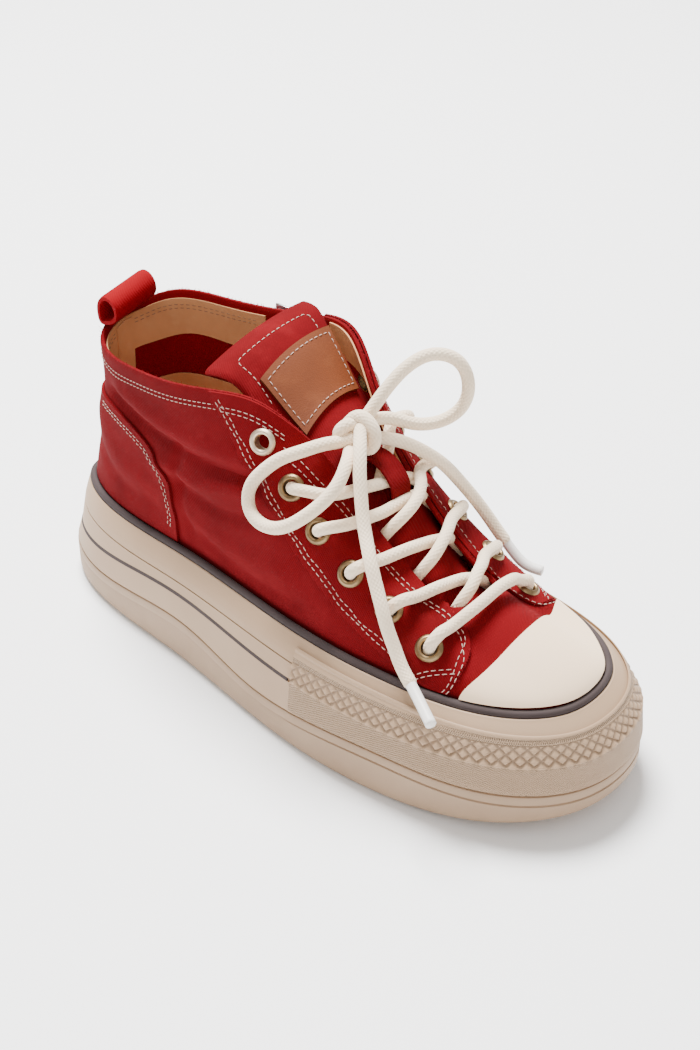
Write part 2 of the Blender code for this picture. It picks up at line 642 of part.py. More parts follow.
def overlay(name, picked, outlines, thickness, material):
    """A layer lying just clear of the upper at the picked stations, kept inside outlines.

    Each outline is seen along an axis and reaches over a span of it."""
    v = wall_rows()[picked][:, 2:]
    u = np.repeat(U[picked][:, None], v.shape[1], axis=1)
    made = shell(name, upper(u, v, GAP + thickness), upper(u, v, GAP), material)
    for k, (outline, axis, span) in enumerate(outlines):
        modifier = made.modifiers.new("outline", "BOOLEAN")
        modifier.operation = "INTERSECT"
        modifier.object = prism(f"{name}_outline_{k}", outline, axis, span)
    return made


def prism(name, outline, axis, span):
    form = bmesh.new()
    ends = []
    for depth in span:
        points = np.insert(np.array(outline, float), axis, depth, axis=1)
        ends.append([form.verts.new(p) for p in place(points)])
    form.faces.new(ends[0])
    form.faces.new(ends[1])
    for k in range(len(outline)):
        form.faces.new((ends[0][k - 1], ends[0][k], ends[1][k], ends[1][k - 1]))
    bmesh.ops.recalc_face_normals(form, faces=form.faces)
    return cutter(name, form)


def make_toe_cap(material):
    picked = np.flatnonzero(EDGE_X > 215)
    seam = [(x, y) for y, x in even(through(CAP_SEAM), 8)]
    ahead = LENGTH + 20
    outline = [(ahead, CAP_SEAM[0][0] - 20), *seam, (ahead, CAP_SEAM[-1][0] + 20)]
    overlay("toe_cap", picked, [(outline, 2, (0, 120))], CAP_WALL, material)


def make_heel_counter(material):
    from_toe = (U + 1) % 2
    picked = np.array([k for k in np.argsort(from_toe) if EDGE_X[k] < 125])
    edge = even(through(COUNTER_EDGE), 8)
    outline = [(-20, COUNTER_EDGE[0][1]), *edge, (COUNTER_EDGE[-1][0] - 1.0, 30), (-20, 30)]
    overlay("heel_counter", picked, [(outline, 1, (-70, 70))], OVERLAY, material)


def make_facing(side, material):
    """Eyelet facing along one side of the throat, with its rounded front end."""
    lateral = side == "lateral"
    picked = np.flatnonzero((EDGE_X > 85) & ((U < 1) if lateral else (U > 1)))
    sign = -1 if lateral else 1
    seam = even(through(FACING_EDGE), 8)
    back, top = FACING_EDGE[0][0] - 3, 160
    from_side = [(back, FACING_EDGE[0][1] + 5), *seam, (LENGTH, 30), (LENGTH, top), (back, top)]
    ends = [(row[0 if lateral else 1], sign * row[2]) for row in FACING_FRONT]
    front = even(through(ends), 7)
    from_above = [*front, (60, sign * 60), (60, ends[0][1])]
    outlines = [(from_side, 1, sorted((sign * 80, sign * 2))), (from_above, 2, (20, 170))]
    return overlay(f"facing_{side}", picked, outlines, OVERLAY, material)


def eyelet_axis(side, row):
    """An eyelet's centre on the upper's face, and the direction out of it."""
    x, z_lateral, z_medial = EYELETS[row]
    u, v = find_side(side, x, z_lateral if side == "lateral" else z_medial)
    point, above = upper(np.array([u, u]), np.array([v, v]), np.array([0.0, 1.0]))
    return point, above - point


def make_eyelets(side, panels, material):
    """Six brass eyelets through the facing and the upper."""
    seat = OVERLAY + 3.6 * GAP
    profile = [  # radius, height over the upper
        (EYELET_BORE, -WALL - 0.8), (EYELET_BARREL, -WALL - 0.8), (EYELET_BARREL, seat),
        (EYELET_FLANGE, seat), (EYELET_BARREL, seat + 0.8),
    ]
    mesh = bpy.data.meshes.new(f"eyelet_{side}")
    corners = [(r * MM, 0, z * MM) for r, z in reversed(profile)]
    mesh.from_pydata(corners, [(k, (k + 1) % len(corners)) for k in range(len(corners))], [])
    mesh.materials.append(material)
    form = bmesh.new()
    for k in range(len(EYELETS)):
        point, out = eyelet_axis(side, k)
        frame = facing_matrix(place(point), out, (1, 0, 0))
        made = bpy.data.objects.new(f"eyelet_{side}_{k + 1}", mesh)
        made.matrix_world = frame
        SHOE.objects.link(made)
        turn = made.modifiers.new("turn", "SCREW")
        turn.steps = turn.render_steps = EYELET_SIDES
        bmesh.ops.create_cone(
            form, cap_ends=True, segments=HOLE_SIDES, radius1=EYELET_HOLE * MM,
            radius2=EYELET_HOLE * MM, depth=16 * MM, matrix=frame,
        )
    holes = cutter(f"eyelet_holes_{side}", form)
    for panel in panels:
        cut(panel, holes)


def make_tongue(material):
    s, q = np.meshgrid(np.linspace(0, 1, 13), np.linspace(-1, 1, 7), indexing="ij")
    shell("tongue", tongue(s, q), tongue(s, q, -TONGUE_WALL), material)


def make_tongue_label(material):
    """Bare leather patch sewn on the tongue."""
    sides = []
    for front, rear in LABEL:
        places = [(tongue_at(x), across) for x, across in (front, rear)]
        sides.append(np.linspace(*places, 4))
    s, q = np.moveaxis(np.linspace(*sides, 6, axis=1), 2, 0)
    shell("tongue_label", tongue(s, q, 2 * GAP + PATCH), tongue(s, q, 2 * GAP), material)


def make_lace_keeper(material):
    """Arched strap along the tongue's middle, over the first crossing of the laces."""
    x, rise = np.transpose(even(through(KEEPER_LINE), 8))
    s = np.array([tongue_at(each) for each in x])
    line = tongue(s, 0.0, rise)[:, [0, 2]]
    along = np.gradient(line, axis=0)
    along /= np.linalg.norm(along, axis=1)[:, None]
    outward = np.stack([-along[:, 1], along[:, 0]], axis=1) * KEEPER
    faces = []
    for lift in (outward, 0 * outward):
        rows = [np.insert(line + lift, 1, y, axis=1) for y in (-KEEPER_HALF, KEEPER_HALF)]
        faces.append(np.stack(rows, axis=1))
    shell("lace_keeper", *faces, material)


def make_pull_loop(material):
    """Webbing folded into a loop on top of the heel."""
    line = even(through(PULL_LOOP, closed=True), PULL_SIDES + 1)[:-1]
    along = np.roll(line, -1, axis=0) - np.roll(line, 1, axis=0)
    along /= np.linalg.norm(along, axis=1)[:, None]
    outward = np.stack([along[:, 1], -along[:, 0]], axis=1) * WEBBING / 2
    loops = [line + outward, line - outward]
    half = PULL_WIDTH / 2
    rings = [np.array([(x, y, z + PULL_ROLL * y) for x, z in loop])
             for loop, y in ((loops[0], -half), (loops[0], half), (loops[1], half),
                             (loops[1], -half))]
    sweep("pull_loop", np.stack(rings, axis=1), material, sharp=50.0)


# ---- Zip ---------------------------------------------------------------------------------
def make_zip_chain(material):
    u = 2 - ZIP_AT
    v = np.linspace(0.05, 0.985, 9)
    half = CHAIN_WIDTH / 2 / foot_step(u)
    u, v = np.meshgrid([u - half, u + half], v, indexing="ij")
    lift = ZIP_LIFT + GAP
    shell("zip_chain", upper(u, v, lift + CHAIN_HEIGHT), upper(u, v, lift), material)


def foot_step(u):
    """Millimetres along the upper for each step of 1 in u."""
    ends = upper(np.array([u - 0.01, u + 0.01]), np.array([0.9, 0.9]))
    return np.linalg.norm(ends[1] - ends[0]) / 0.02


def zip_frame(v):
    """A frame on the zip chain's face: Z out of the upper, X back along the shoe, Y up."""
    u = 2 - ZIP_AT
    lift = ZIP_LIFT + GAP + CHAIN_HEIGHT
    point, above = (upper(u, np.array(v), np.array(lift + step)) for step in (0.0, 1.0))
    return facing_matrix(place(point), above - point, (-1, 0, 0))


def block(form, size, centre, taper=1.0):
    """A box in a bmesh, in millimetres; `taper` narrows its outer face."""
    made = bmesh.ops.create_cube(form, size=1.0)
    for vert in made["verts"]:
        shrink = taper if vert.co.z > 0 else 1.0
        vert.co.x, vert.co.y = vert.co.x * shrink, vert.co.y * shrink
        vert.co = Vector(a * b * MM + c * MM for a, b, c in zip(vert.co, size, centre))
    return made


def make_zip_pull(metal):
    """Slider at the top of the chain, and the tab that hangs from it."""
    frame = zip_frame(SLIDER_V)
    form = bmesh.new()
    block(form, SLIDER, (0, 0, GAP + SLIDER[2] / 2), taper=0.8)
    slider = mesh_object("zip_slider", form, metal)
    slider.matrix_world = frame
    top = GAP + SLIDER[2]
    half = TAB_THICKNESS / 2
    bridge = bmesh.new()
    block(bridge, (BRIDGE_WIDTH, 5.6, 4.0), (0, 0, top + 1.6))
    join(slider, placed_cutter("slider_bridge", bridge, frame))
    under = bmesh.new()
    block(under, (3 * BRIDGE_WIDTH, 2.6, 2.5), (0, 0, top + 1.25))
    cut(slider, placed_cutter("under_bridge", under, frame))

    pin = frame @ Matrix.Translation((0, 0, PIN_HEIGHT * MM))
    tab = bmesh.new()
    block(tab, (TAB_WIDTH, TAB_LENGTH, TAB_THICKNESS), (0, half - TAB_LENGTH / 2, 0))
    upright = [e for e in tab.edges if abs(e.verts[0].co.z - e.verts[1].co.z) > half * MM]
    bmesh.ops.bevel(
        tab, geom=upright, offset=0.5 * MM, segments=2, profile=0.5, affect="EDGES"
    )
    pull = mesh_object("zip_pull_tab", tab, metal)
    pull.matrix_world = pin
    window = bmesh.new()
    block(window, (TAB_WIDTH - 2 * TAB_RIM, TAB_EYE, 6.0), (0, -half - TAB_EYE / 2, 0))
    cut(pull, placed_cutter("tab_window", window, pin))


def placed_cutter(name, form, frame):
    made = cutter(name, form)
    made.matrix_world = frame
    return made


def mesh_object(name, form, material):
    mesh = bpy.data.meshes.new(name)
    bmesh.ops.recalc_face_normals(form, faces=form.faces)
    form.to_mesh(mesh)
    form.free()
    mesh.materials.append(material)
    made = bpy.data.objects.new(name, mesh)
    SHOE.objects.link(made)
    return made


# ---- Laces -------------------------------------------------------------------------------
def edge_at(side, x):
    """u where the upper's top edge passes x on one side of the throat."""
    u = np.linspace(0.3, 0.99, 701) if side == "lateral" else np.linspace(1.7, 1.01, 701)
    return u[np.argmin(np.abs(TOP(u)[:, 0] - x))]


def into_eyelet(side, row, over):
    """Points of a lace that comes over the throat's edge and dips into an eyelet."""
    centre, out = eyelet_axis(side, row)
    toward = over - centre
    toward -= out * (toward @ out)
    toward /= np.linalg.norm(toward)
    return [over, *(centre + toward * reach + out * height for reach, height in LACE_TURN)]


def crossing(start_side, end_side, row):
    """A lace from under one edge of the throat, over the tongue and into an eyelet."""
    from_x, middle_x, over_x = LACING[row - 1]
    rise = LACE / 2 + LACE_CLEAR
    over = upper(edge_at(end_side, over_x), 0.98, GAP + OVERLAY + rise) + (0, 0, EDGE_LIFT[end_side])
    route = [
        tongue(tongue_at(from_x), LACE_START[end_side], rise),
        tongue(tongue_at(middle_x), 0.0, rise),
        *into_eyelet(end_side, row, over),
    ]
    line = through(route)
    return line(np.append(np.linspace(0, line.t[2], 4), line.t[3:]))


def cord(name, points, keep):
    """A round cord through points as a mesh object; one that isn't kept is a helper."""
    curve = bpy.data.curves.new(name, "CURVE")
    curve.dimensions = "3D"
    curve.bevel_depth = LACE / 2 * MM
    curve.bevel_resolution = 2
    curve.use_fill_caps = True
    line = curve.splines.new("POLY")
    line.points.add(len(points) - 1)
    for point, at in zip(line.points, place(points)):
        point.co = (*at, 1.0)
    made = bpy.data.objects.new(name, curve)
    if keep:
        SHOE.objects.link(made)
        return made
    CUTTERS.objects.link(made)
    bpy.context.view_layer.update()
    graph = bpy.context.evaluated_depsgraph_get()
    mesh = bpy.data.meshes.new_from_object(made.evaluated_get(graph))
    form = bmesh.new()
    form.from_mesh(mesh)
    bmesh.ops.remove_doubles(form, verts=form.verts, dist=1e-6)
    bpy.data.objects.remove(made, do_unlink=True)
    bpy.data.curves.remove(curve)
    return form


def make_lace_crossings(material):
    """One crossing between each two rows of eyelets, and the bar at the lowest row."""
    for row in range(1, len(EYELETS) - 1):
        name = f"lace_cross_{row}"
        first = cord(f"{name}_a", crossing("lateral", "medial", row), keep=False)
        second = cord(f"{name}_b", crossing("medial", "lateral", row), keep=False)
        made = mesh_object(name, first, material)
        join(made, cutter(f"{name}_other", second))
        made.data.shade_smooth()
    ends = []
    last = len(EYELETS) - 1
    for side in ("lateral", "medial"):
        sign = -1 if side == "lateral" else 1
        u, v = nearest(0.6, 1.4, [0, 1], (BAR_X, sign * BAR_EDGE))
        ends.append(into_eyelet(side, last, upper(u, v, GAP + OVERLAY + LACE / 2 + LACE_CLEAR)))
    u, v = nearest(0.9, 1.1, [0, 1], (BAR_X, 0.0))
    middle = upper(u, v, GAP + OVERLAY + LACE / 2 + LACE_CLEAR)
    line = through([*reversed(ends[0]), middle, *ends[1]])
    bar = mesh_object("lace_bar", cord("bar", line(line.t), keep=False), material)
    bar.data.shade_smooth()


def make_bow(material):
    """The knot on the tongue, two loops and two hanging ends."""
    at = (tongue_at(KNOT_AT[0]), KNOT_AT[1])
    top = tongue(*at, LACE_CLEAR + KNOT_HALF[2])
    normal = top - tongue(*at)
    knot = bmesh.new()
    bmesh.ops.create_uvsphere(knot, u_segments=12, v_segments=7, radius=MM)
    made = mesh_object("lace_knot", knot, material)
    made.matrix_world = facing_matrix(place(top), normal, (0, 1, 0)) @ Matrix.Diagonal(
        (*KNOT_HALF, 1)
    )
    made.data.shade_smooth()
    for name, route in (("lace_loop_lateral", LOOP_LATERAL), ("lace_loop_medial", LOOP_MEDIAL),
                        ("lace_end_lateral", END_LATERAL), ("lace_end_medial", END_MEDIAL)):
        line = through(route)
        run = np.linalg.norm(np.diff(line(np.linspace(0, 1, 400)), axis=0), axis=1).sum()
        count = round(run / (2.4 * LACE)) + 1
        tube = cord(name, even(line, count), keep=True)
        tube.data.materials.append(material)


# ---- The shoe ----------------------------------------------------------------------------
def clear_scene():
    for made in list(bpy.data.objects):
        bpy.data.objects.remove(made, do_unlink=True)


def collection(name):
    made = bpy.data.collections.new(name)
    bpy.context.scene.collection.children.link(made)
    return made


def build():
    rubber = finish("rubber_cream", (0.62, 0.48, 0.38), 0.55)
    tread = finish("rubber_outsole", (0.60, 0.46, 0.36), 0.65)
    cap = finish("rubber_cap", (0.86, 0.74, 0.63), 0.45)
    dark = finish("rubber_dark", (0.13, 0.11, 0.115), 0.6)
    canvas = finish("canvas_red", (0.42, 0.012, 0.02), 0.9)
    leather = finish("leather_tan", (0.36, 0.13, 0.05), 0.5)
    brass = finish("brass", (0.35, 0.26, 0.16), 0.35, 1.0)
    steel = finish("steel", (0.6, 0.6, 0.6), 0.25, 1.0)
    zip_dark = finish("zip_dark", (0.05, 0.04, 0.045), 0.5)
    lace = finish("lace", (0.80, 0.72, 0.62), 0.85)

    make_outsole(tread)
    make_midsole(rubber)
    make_foxing(rubber)
    make_piping(dark)
    make_bumper(rubber)
    make_pinstripe(dark)
    make_insole(leather)
    body = make_upper(canvas)
    make_toe_cap(cap)
    make_heel_counter(canvas)
    for side in ("lateral", "medial"):
        facing = make_facing(side, canvas)
        make_eyelets(side, (body, facing), brass)
    make_tongue(canvas)
    make_tongue_label(leather)
    make_lace_keeper(canvas)
    make_pull_loop(canvas)
    make_zip_chain(zip_dark)
    make_zip_pull(steel)
    make_lace_crossings(lace)
    make_bow(lace)


clear_scene()
SHOE = collection("sneaker")
CUTTERS = collection("cutters")
build()
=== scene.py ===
"""Looks of a canvas high-top sneaker on a platform sole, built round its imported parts."""

import math

import bmesh
import bpy
import numpy as np
from mathutils import Matrix, Vector


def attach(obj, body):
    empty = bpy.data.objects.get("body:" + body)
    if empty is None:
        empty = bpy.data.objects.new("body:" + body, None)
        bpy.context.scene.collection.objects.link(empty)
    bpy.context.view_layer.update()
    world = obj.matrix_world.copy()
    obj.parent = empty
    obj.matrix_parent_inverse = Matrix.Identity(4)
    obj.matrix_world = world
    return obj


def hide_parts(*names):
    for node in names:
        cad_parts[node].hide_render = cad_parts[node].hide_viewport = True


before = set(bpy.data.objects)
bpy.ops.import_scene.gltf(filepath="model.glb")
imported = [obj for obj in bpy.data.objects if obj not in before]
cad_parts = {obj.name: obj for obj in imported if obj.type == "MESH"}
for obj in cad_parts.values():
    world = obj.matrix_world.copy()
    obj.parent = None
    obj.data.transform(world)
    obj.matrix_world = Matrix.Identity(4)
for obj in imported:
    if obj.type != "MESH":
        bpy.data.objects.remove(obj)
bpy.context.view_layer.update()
BODY = "shoe"

# ---- The shoe's own sizes, millimetres ---------------------------------------------------
MM = 0.001
LENGTH = 280.0  # sole, heel to toe
MIDDLE = LENGTH / 2
GAP = 0.3  # between pieces that touch on the real shoe
AROUND = 240  # faces round each ring of the sole
WALL = 2.2  # canvas and lining of the upper
OVERLAY = 1.0  # facing and counter
CAP_WALL = 1.6  # rubber toe cap
PIPING = 3.3  # diameter of the piping cord
BUMPER = 1.5  # thickness of the toe bumper
BUMPER_PROUD = 0.6  # how far it stands out of the sole's side
INSOLE = 3.5
TONGUE_WALL = 2.6
PATCH = 1.0  # leather label on the tongue
WEBBING = 2.0
KEEPER, KEEPER_HALF = 1.0, 4.8  # lace keeper: thickness, half width
OVERLAY_CLEAR = 0.4  # overlays on the upper begin this far above the piping
EYELET_BORE, EYELET_BARREL, EYELET_HOLE, EYELET_FLANGE = 3.0, 3.6, 4.2, 5.6  # radii
SKIRT_TOP = 1.0  # the upper's wall is upright up to this far below the top of the piping
FOXING_DROP = 9.0  # from the top of the piping down to the lower edge of the foxing
SPRING_START, SPRING = 190.0, 8.0  # toe spring: where the sole leaves the floor, and how far
BUMPER_START = 167.0  # the toe bumper begins here, on both sides
STRIPE_END = 165.0  # the pinstripe ends here
LACE = 5.0  # lace diameter
LACE_CLEAR = 0.7  # under the laces
KNOT_AT = (153.4, -0.12)  # x, place across the tongue
KNOT_HALF = (8.5, 7.4, 6.0)  # half sizes: across, along and off the tongue

# Plan of the sole's edge: heel, lateral side, toe, medial side.
SOLE_PLAN = [  # x, y
    (0.0, 0.7), (4.1, -19.0), (18.4, -30.8), (45.3, -39.0), (89.8, -43.1), (134.6, -49.1),
    (175.0, -52.9), (209.7, -51.0), (239.5, -44.8), (262.7, -32.3), (276.4, -14.5),
    (279.3, 6.9), (272.9, 26.8), (257.7, 40.5), (228.0, 48.6), (189.9, 48.3),
    (149.9, 42.2), (105.0, 37.7), (60.0, 37.3), (25.0, 32.2), (6.0, 18.3),
]
TOE_POINT = 11  # row of SOLE_PLAN at the tip of the toe

# Heights and widths that change along the sole.
SIDE = [  # x, top of piping, shelf width, groove height, pinstripe height
    (0.0, 46.5, 8.0, 15.0, 25.0),
    (30.0, 46.0, 8.2, 14.5, 26.5),
    (70.0, 46.5, 8.5, 18.0, 31.0),
    (105.0, 48.0, 8.5, 19.5, 33.0),
    (140.0, 49.3, 8.5, 15.5, 32.5),
    (175.0, 49.5, 8.8, 17.5, 32.0),
    (210.0, 48.8, 9.3, 20.0, 31.5),
    (245.0, 47.6, 10.8, 18.8, 31.0),
    (280.0, 46.5, 13.0, 18.6, 31.0),
]

FLARE = [  # x, how far the side leans in at the piping's height, and at the pinstripe
    (0.0, 6.5, 3.0), (60.0, 5.0, 2.0), (200.0, 4.5, 1.5), (245.0, 5.5, 1.0), (280.0, 6.5, 1.0),
]
FLARE_DROP = 0.8  # lower by this share of the lean

# The upper's top edge, with its lean. `at` runs from 0 at the heel to 1 at the toe along the
# foot line. out1 and rise1 place the wall's lower curve, out2 and drop2 its upper curve.
LATERAL = [  # at, x, y, z, out1, rise1, out2, drop2
    (0.00, 19.5, 0.0, 118.0, -5.0, 16.0, -1.5, 27.0),
    (0.08, 24.0, 13.5, 114.5, -3.0, 16.0, -2.5, 26.0),
    (0.17, 37.0, 21.5, 112.5, -1.0, 18.0, -1.0, 26.0),
    (0.29, 61.0, 28.0, 116.0, 1.5, 18.0, 0.0, 26.0),
    (0.41, 91.0, 31.5, 121.5, 2.0, 16.0, 1.0, 26.0),
    (0.50, 116.0, 29.5, 126.5, 2.0, 14.0, 3.0, 24.0),
    (0.56, 131.0, 25.0, 125.0, 2.5, 12.0, 5.0, 20.0),
    (0.62, 147.0, 18.0, 114.0, 3.0, 10.0, 8.0, 13.0),
    (0.68, 160.0, 16.0, 104.0, 3.0, 9.0, 9.0, 9.0),
    (0.75, 178.0, 15.5, 88.0, 3.0, 7.0, 9.0, 7.0),
    (0.82, 197.0, 15.0, 74.5, 2.5, 6.0, 9.0, 5.0),
    (0.91, 213.5, 13.0, 68.0, 2.0, 6.0, 10.0, 3.0),
]
MEDIAL = [
    (0.08, 23.0, 12.5, 120.5, -3.0, 16.0, -2.5, 26.0),
    (0.17, 35.5, 21.0, 125.5, -1.0, 18.0, -1.0, 26.0),
    (0.29, 59.0, 30.0, 125.0, 1.5, 18.0, 0.0, 26.0),
    (0.40, 87.0, 32.5, 128.5, 2.0, 16.0, 0.0, 26.0),
    (0.48, 108.0, 31.5, 133.5, 2.0, 14.0, 1.0, 24.0),
    (0.55, 128.0, 28.0, 133.5, 2.5, 12.0, 3.0, 20.0),
    (0.61, 145.0, 20.0, 121.0, 3.0, 10.0, 6.0, 15.0),
    (0.68, 160.0, 16.0, 103.5, 3.0, 9.0, 6.0, 13.0),
    (0.75, 178.0, 14.5, 87.0, 2.0, 5.0, 4.5, 13.0),
    (0.82, 197.0, 13.5, 73.5, 1.0, 3.5, 3.5, 12.0),
    (0.91, 213.5, 11.5, 67.0, 1.0, 3.5, 5.0, 9.0),
]
TOE = (1.00, 218.5, 0.0, 69.0, 2.0, 7.0, 14.0, 3.0)

# Seams and edges on the upper's sides, as seen from the side.
COUNTER_EDGE = [  # x, z
    (12.0, 89.0), (31.0, 90.5), (45.0, 90.5), (58.0, 89.0), (69.0, 86.0), (77.0, 80.0),
    (82.5, 71.5), (85.0, 60.0),
]
FACING_EDGE = [  # x, z
    (111.0, 121.0), (117.0, 115.0), (133.0, 99.0), (153.0, 81.0), (168.0, 71.0),
    (185.0, 62.0), (200.0, 56.0), (211.0, 52.0), (219.0, 49.5),
]
FACING_FRONT = [  # x lateral, x medial, distance from the middle: its rounded front end
    (209.0, 209.0, 12.5), (217.0, 216.0, 15.0), (224.0, 221.5, 17.5), (228.5, 225.0, 21.0),
    (230.5, 226.0, 26.0), (230.0, 225.0, 32.0), (228.0, 222.5, 40.0),
]
CAP_SEAM = [  # y, x
    (-40.0, 229.0), (-31.0, 232.0), (-22.0, 235.0), (0.0, 237.5), (22.0, 233.5), (40.0, 225.0),
]
EYELETS = [  # x, z lateral, z medial
    (133.9, 112.0, 114.5), (148.3, 98.3, 101.0), (163.5, 86.6, 87.5),
    (180.9, 76.4, 75.5), (198.7, 68.5, 64.5), (217.0, 60.1, 57.0),
]
LABEL = [  # front and rear corner of each side: x on the tongue, place across it
    ((141.8, -0.58), (120.9, -0.70)),
    ((136.8, 0.78), (117.8, 0.92)),
]
KEEPER_LINE = [  # x on the tongue, height over it: the strap stands clear of the first crossing
    (158.6, 0.8), (160.4, 3.6), (163.4, 6.5), (167.0, 7.6), (170.8, 6.9), (173.4, 4.0),
    (175.2, 0.4),
]
PULL_LOOP = [  # x, z of the webbing's middle
    (22.0, 120.0), (20.8, 123.4), (21.4, 127.8), (24.2, 130.8), (28.4, 130.9),
    (31.2, 128.2), (31.2, 124.4), (28.8, 121.8), (25.4, 120.4),
]
PULL_WIDTH, PULL_ROLL = 22.0, 0.22
CHAIN_WIDTH, CHAIN_HEIGHT, SLIDER_V, ZIP_LIFT = 5.0, 1.2, 0.94, 0.3
SLIDER, BRIDGE_WIDTH, PIN_HEIGHT = (8.0, 11.0, 2.6), 1.8, 4.15  # width, length, height
TAB_WIDTH, TAB_LENGTH, TAB_THICKNESS, TAB_RIM, TAB_EYE = 5.5, 22.0, 1.2, 1.25, 4.6
STRIPE_GROOVE, STRIPE_DEPTH = 1.8, 0.9
LUG_PITCH, LUG_MARGIN, LUG_SLANT, LUG_GROOVE, LUG_DEPTH = 17.0, 9.0, 18.0, 3.2, 1.6
ZIP_AT = 0.378  # place of the zip along the medial foot line
TONGUE = [  # x, z, half width, droop of the edges, rise of the medial edge
    (227.0, 62.0, 10.0, 3.0, -1.0),
    (214.0, 65.0, 13.0, 5.0, -1.5),
    (200.0, 70.5, 17.0, 8.5, -2.5),
    (185.0, 81.0, 20.5, 12.0, -2.5),
    (170.0, 94.0, 23.5, 14.0, -1.5),
    (158.0, 105.0, 24.5, 14.0, 0.0),
    (147.0, 112.5, 24.5, 12.0, 1.0),
    (137.0, 119.5, 24.0, 9.0, 2.0),
    (127.0, 128.5, 24.0, 7.0, 3.0),
    (118.0, 135.5, 24.5, 5.0, 3.5),
    (110.0, 138.5, 26.5, 3.5, 4.5),
    (102.0, 137.5, 27.5, 3.0, 5.0),
]

# Routes of the bow's four cords, from the knot.
LOOP_LATERAL = [  # x, y, z
    (155.4, -12.5, 113.5), (154.1, -18.5, 114.5), (150.3, -25.0, 113.2), (145.2, -30.4, 110.5),
    (140.0, -35.4, 105.0), (136.8, -39.2, 98.0), (138.8, -41.5, 91.0), (147.0, -43.0, 88.5),
    (157.0, -42.5, 91.5), (164.5, -39.5, 97.5), (168.8, -33.2, 103.2), (169.8, -26.3, 108.4),
    (167.5, -20.2, 111.5),
    (164.0, -14.9, 111.6), (160.9, -11.1, 110.6),
]
LOOP_MEDIAL = [
    (157.5, 1.9, 119.0), (160.0, 10.5, 128.5), (163.5, 18.5, 136.0), (169.0, 26.5, 139.5),
    (175.5, 32.5, 136.5), (179.0, 34.5, 127.5), (176.5, 33.0, 116.5), (170.5, 27.5, 111.0),
    (164.5, 19.5, 111.5), (159.6, 10.7, 115.6), (157.5, 5.4, 116.3),
]
END_LATERAL = [
    (163.6, -8.2, 116.9), (168.8, -13.9, 114.9), (172.9, -18.5, 110.0), (176.5, -21.8, 103.6),
    (180.0, -24.7, 97.6), (185.6, -28.7, 91.2), (191.8, -33.2, 86.6), (197.0, -35.9, 80.0),
    (201.6, -38.2, 74.5), (205.5, -39.3, 67.5), (209.3, -39.8, 61.3), (213.4, -40.9, 56.4),
    (218.0, -42.0, 52.9), (225.0, -45.0, 50.4), (235.6, -50.4, 48.0),
]
END_MEDIAL = [
    (160.3, 3.4, 110.7), (166.4, 9.3, 109.2), (172.4, 15.5, 105.0), (177.2, 21.5, 98.9),
    (180.3, 28.0, 90.0), (183.5, 33.5, 81.0), (187.5, 37.5, 72.5), (192.0, 40.0, 65.0),
    (197.5, 41.5, 58.5), (203.5, 43.0, 53.5), (210.0, 45.5, 52.0),
]


# ---- Curves ------------------------------------------------------------------------------
def unit(vectors):
    return vectors / np.linalg.norm(vectors, axis=-1)[..., None]


def run_along(points):
    """Distance along a line at each of its points."""
    return np.append(0, np.cumsum(np.linalg.norm(np.diff(points, axis=0), axis=1)))


def turns(sides):
    """Angles of the corners round a profile."""
    return np.linspace(0, 2 * math.pi, sides, endpoint=False)


class Spline:
    """A smooth (cubic) curve through rows of values at rising knots; `period` closes it."""

    def __init__(self, knots, rows, period=None):
        self.period = period
        t = np.array(knots, float)
        p = np.array(rows, float).reshape(len(t), -1)
        if period:
            t, p = np.append(t, t[0] + period), np.vstack([p, p[:1]])
        n, h = len(t), np.diff(t)
        slope = np.diff(p, axis=0) / h[:, None]
        m = np.zeros((n, n))
        r = np.zeros((n, p.shape[1]))
        for i in range(1, n - 1):
            m[i, i - 1 : i + 2] = h[i - 1], 2 * (h[i - 1] + h[i]), h[i]
            r[i] = 6 * (slope[i] - slope[i - 1])
        if period:
            m[0, [0, 1, n - 2, n - 1]] = 2 * h[0], h[0], h[-1], 2 * h[-1]
            r[0] = 6 * (slope[0] - slope[-1])
            m[-1, [0, -1]] = 1, -1
        else:
            m[0, 0] = m[-1, -1] = 1
        self.t, self.p, self.h, self.curve = t, p, h, np.linalg.solve(m, r)

    def __call__(self, at):
        at = np.asarray(at, float)
        if self.period:
            at = (at - self.t[0]) % self.period + self.t[0]
        at = np.clip(at, self.t[0], self.t[-1])
        i = np.clip(np.searchsorted(self.t, at, side="right") - 1, 0, len(self.h) - 1)
        h = self.h[i][..., None]
        b = (at[..., None] - self.t[i][..., None]) / h
        a = 1 - b
        bend = (a**3 - a) * self.curve[i] + (b**3 - b) * self.curve[i + 1]
        return a * self.p[i] + b * self.p[i + 1] + bend * h**2 / 6


def through(points, closed=False):
    """A smooth curve through points, run by its share of the chord length from 0 to 1."""
    p = np.array(points, float)
    ends = np.vstack([p, p[:1]]) if closed else p
    t = run_along(ends)
    t /= t[-1]
    return Spline(t[:-1], p, 1.0) if closed else Spline(t, p)


def even(curve, count, start=0.0, end=1.0):
    """Points at equal steps along a curve."""
    fine = curve(np.linspace(start, end, 40 * count))
    run = run_along(fine)
    steps = np.linspace(0, run[-1], count)
    return np.stack([np.interp(steps, run, fine[:, k]) for k in range(fine.shape[1])], axis=1)


# ---- The shoe's own forms ----------------------------------------------------------------
PLAN = through(SOLE_PLAN, closed=True)
TOE_AT = PLAN.t[TOE_POINT]
side_table = np.array(SIDE)


def along_sole(column, x):
    """A value of the SIDE table at x: 1 piping, 2 shelf, 3 groove, 4 pinstripe."""
    return Spline(side_table[:, 0], side_table[:, column])(x)[..., 0]


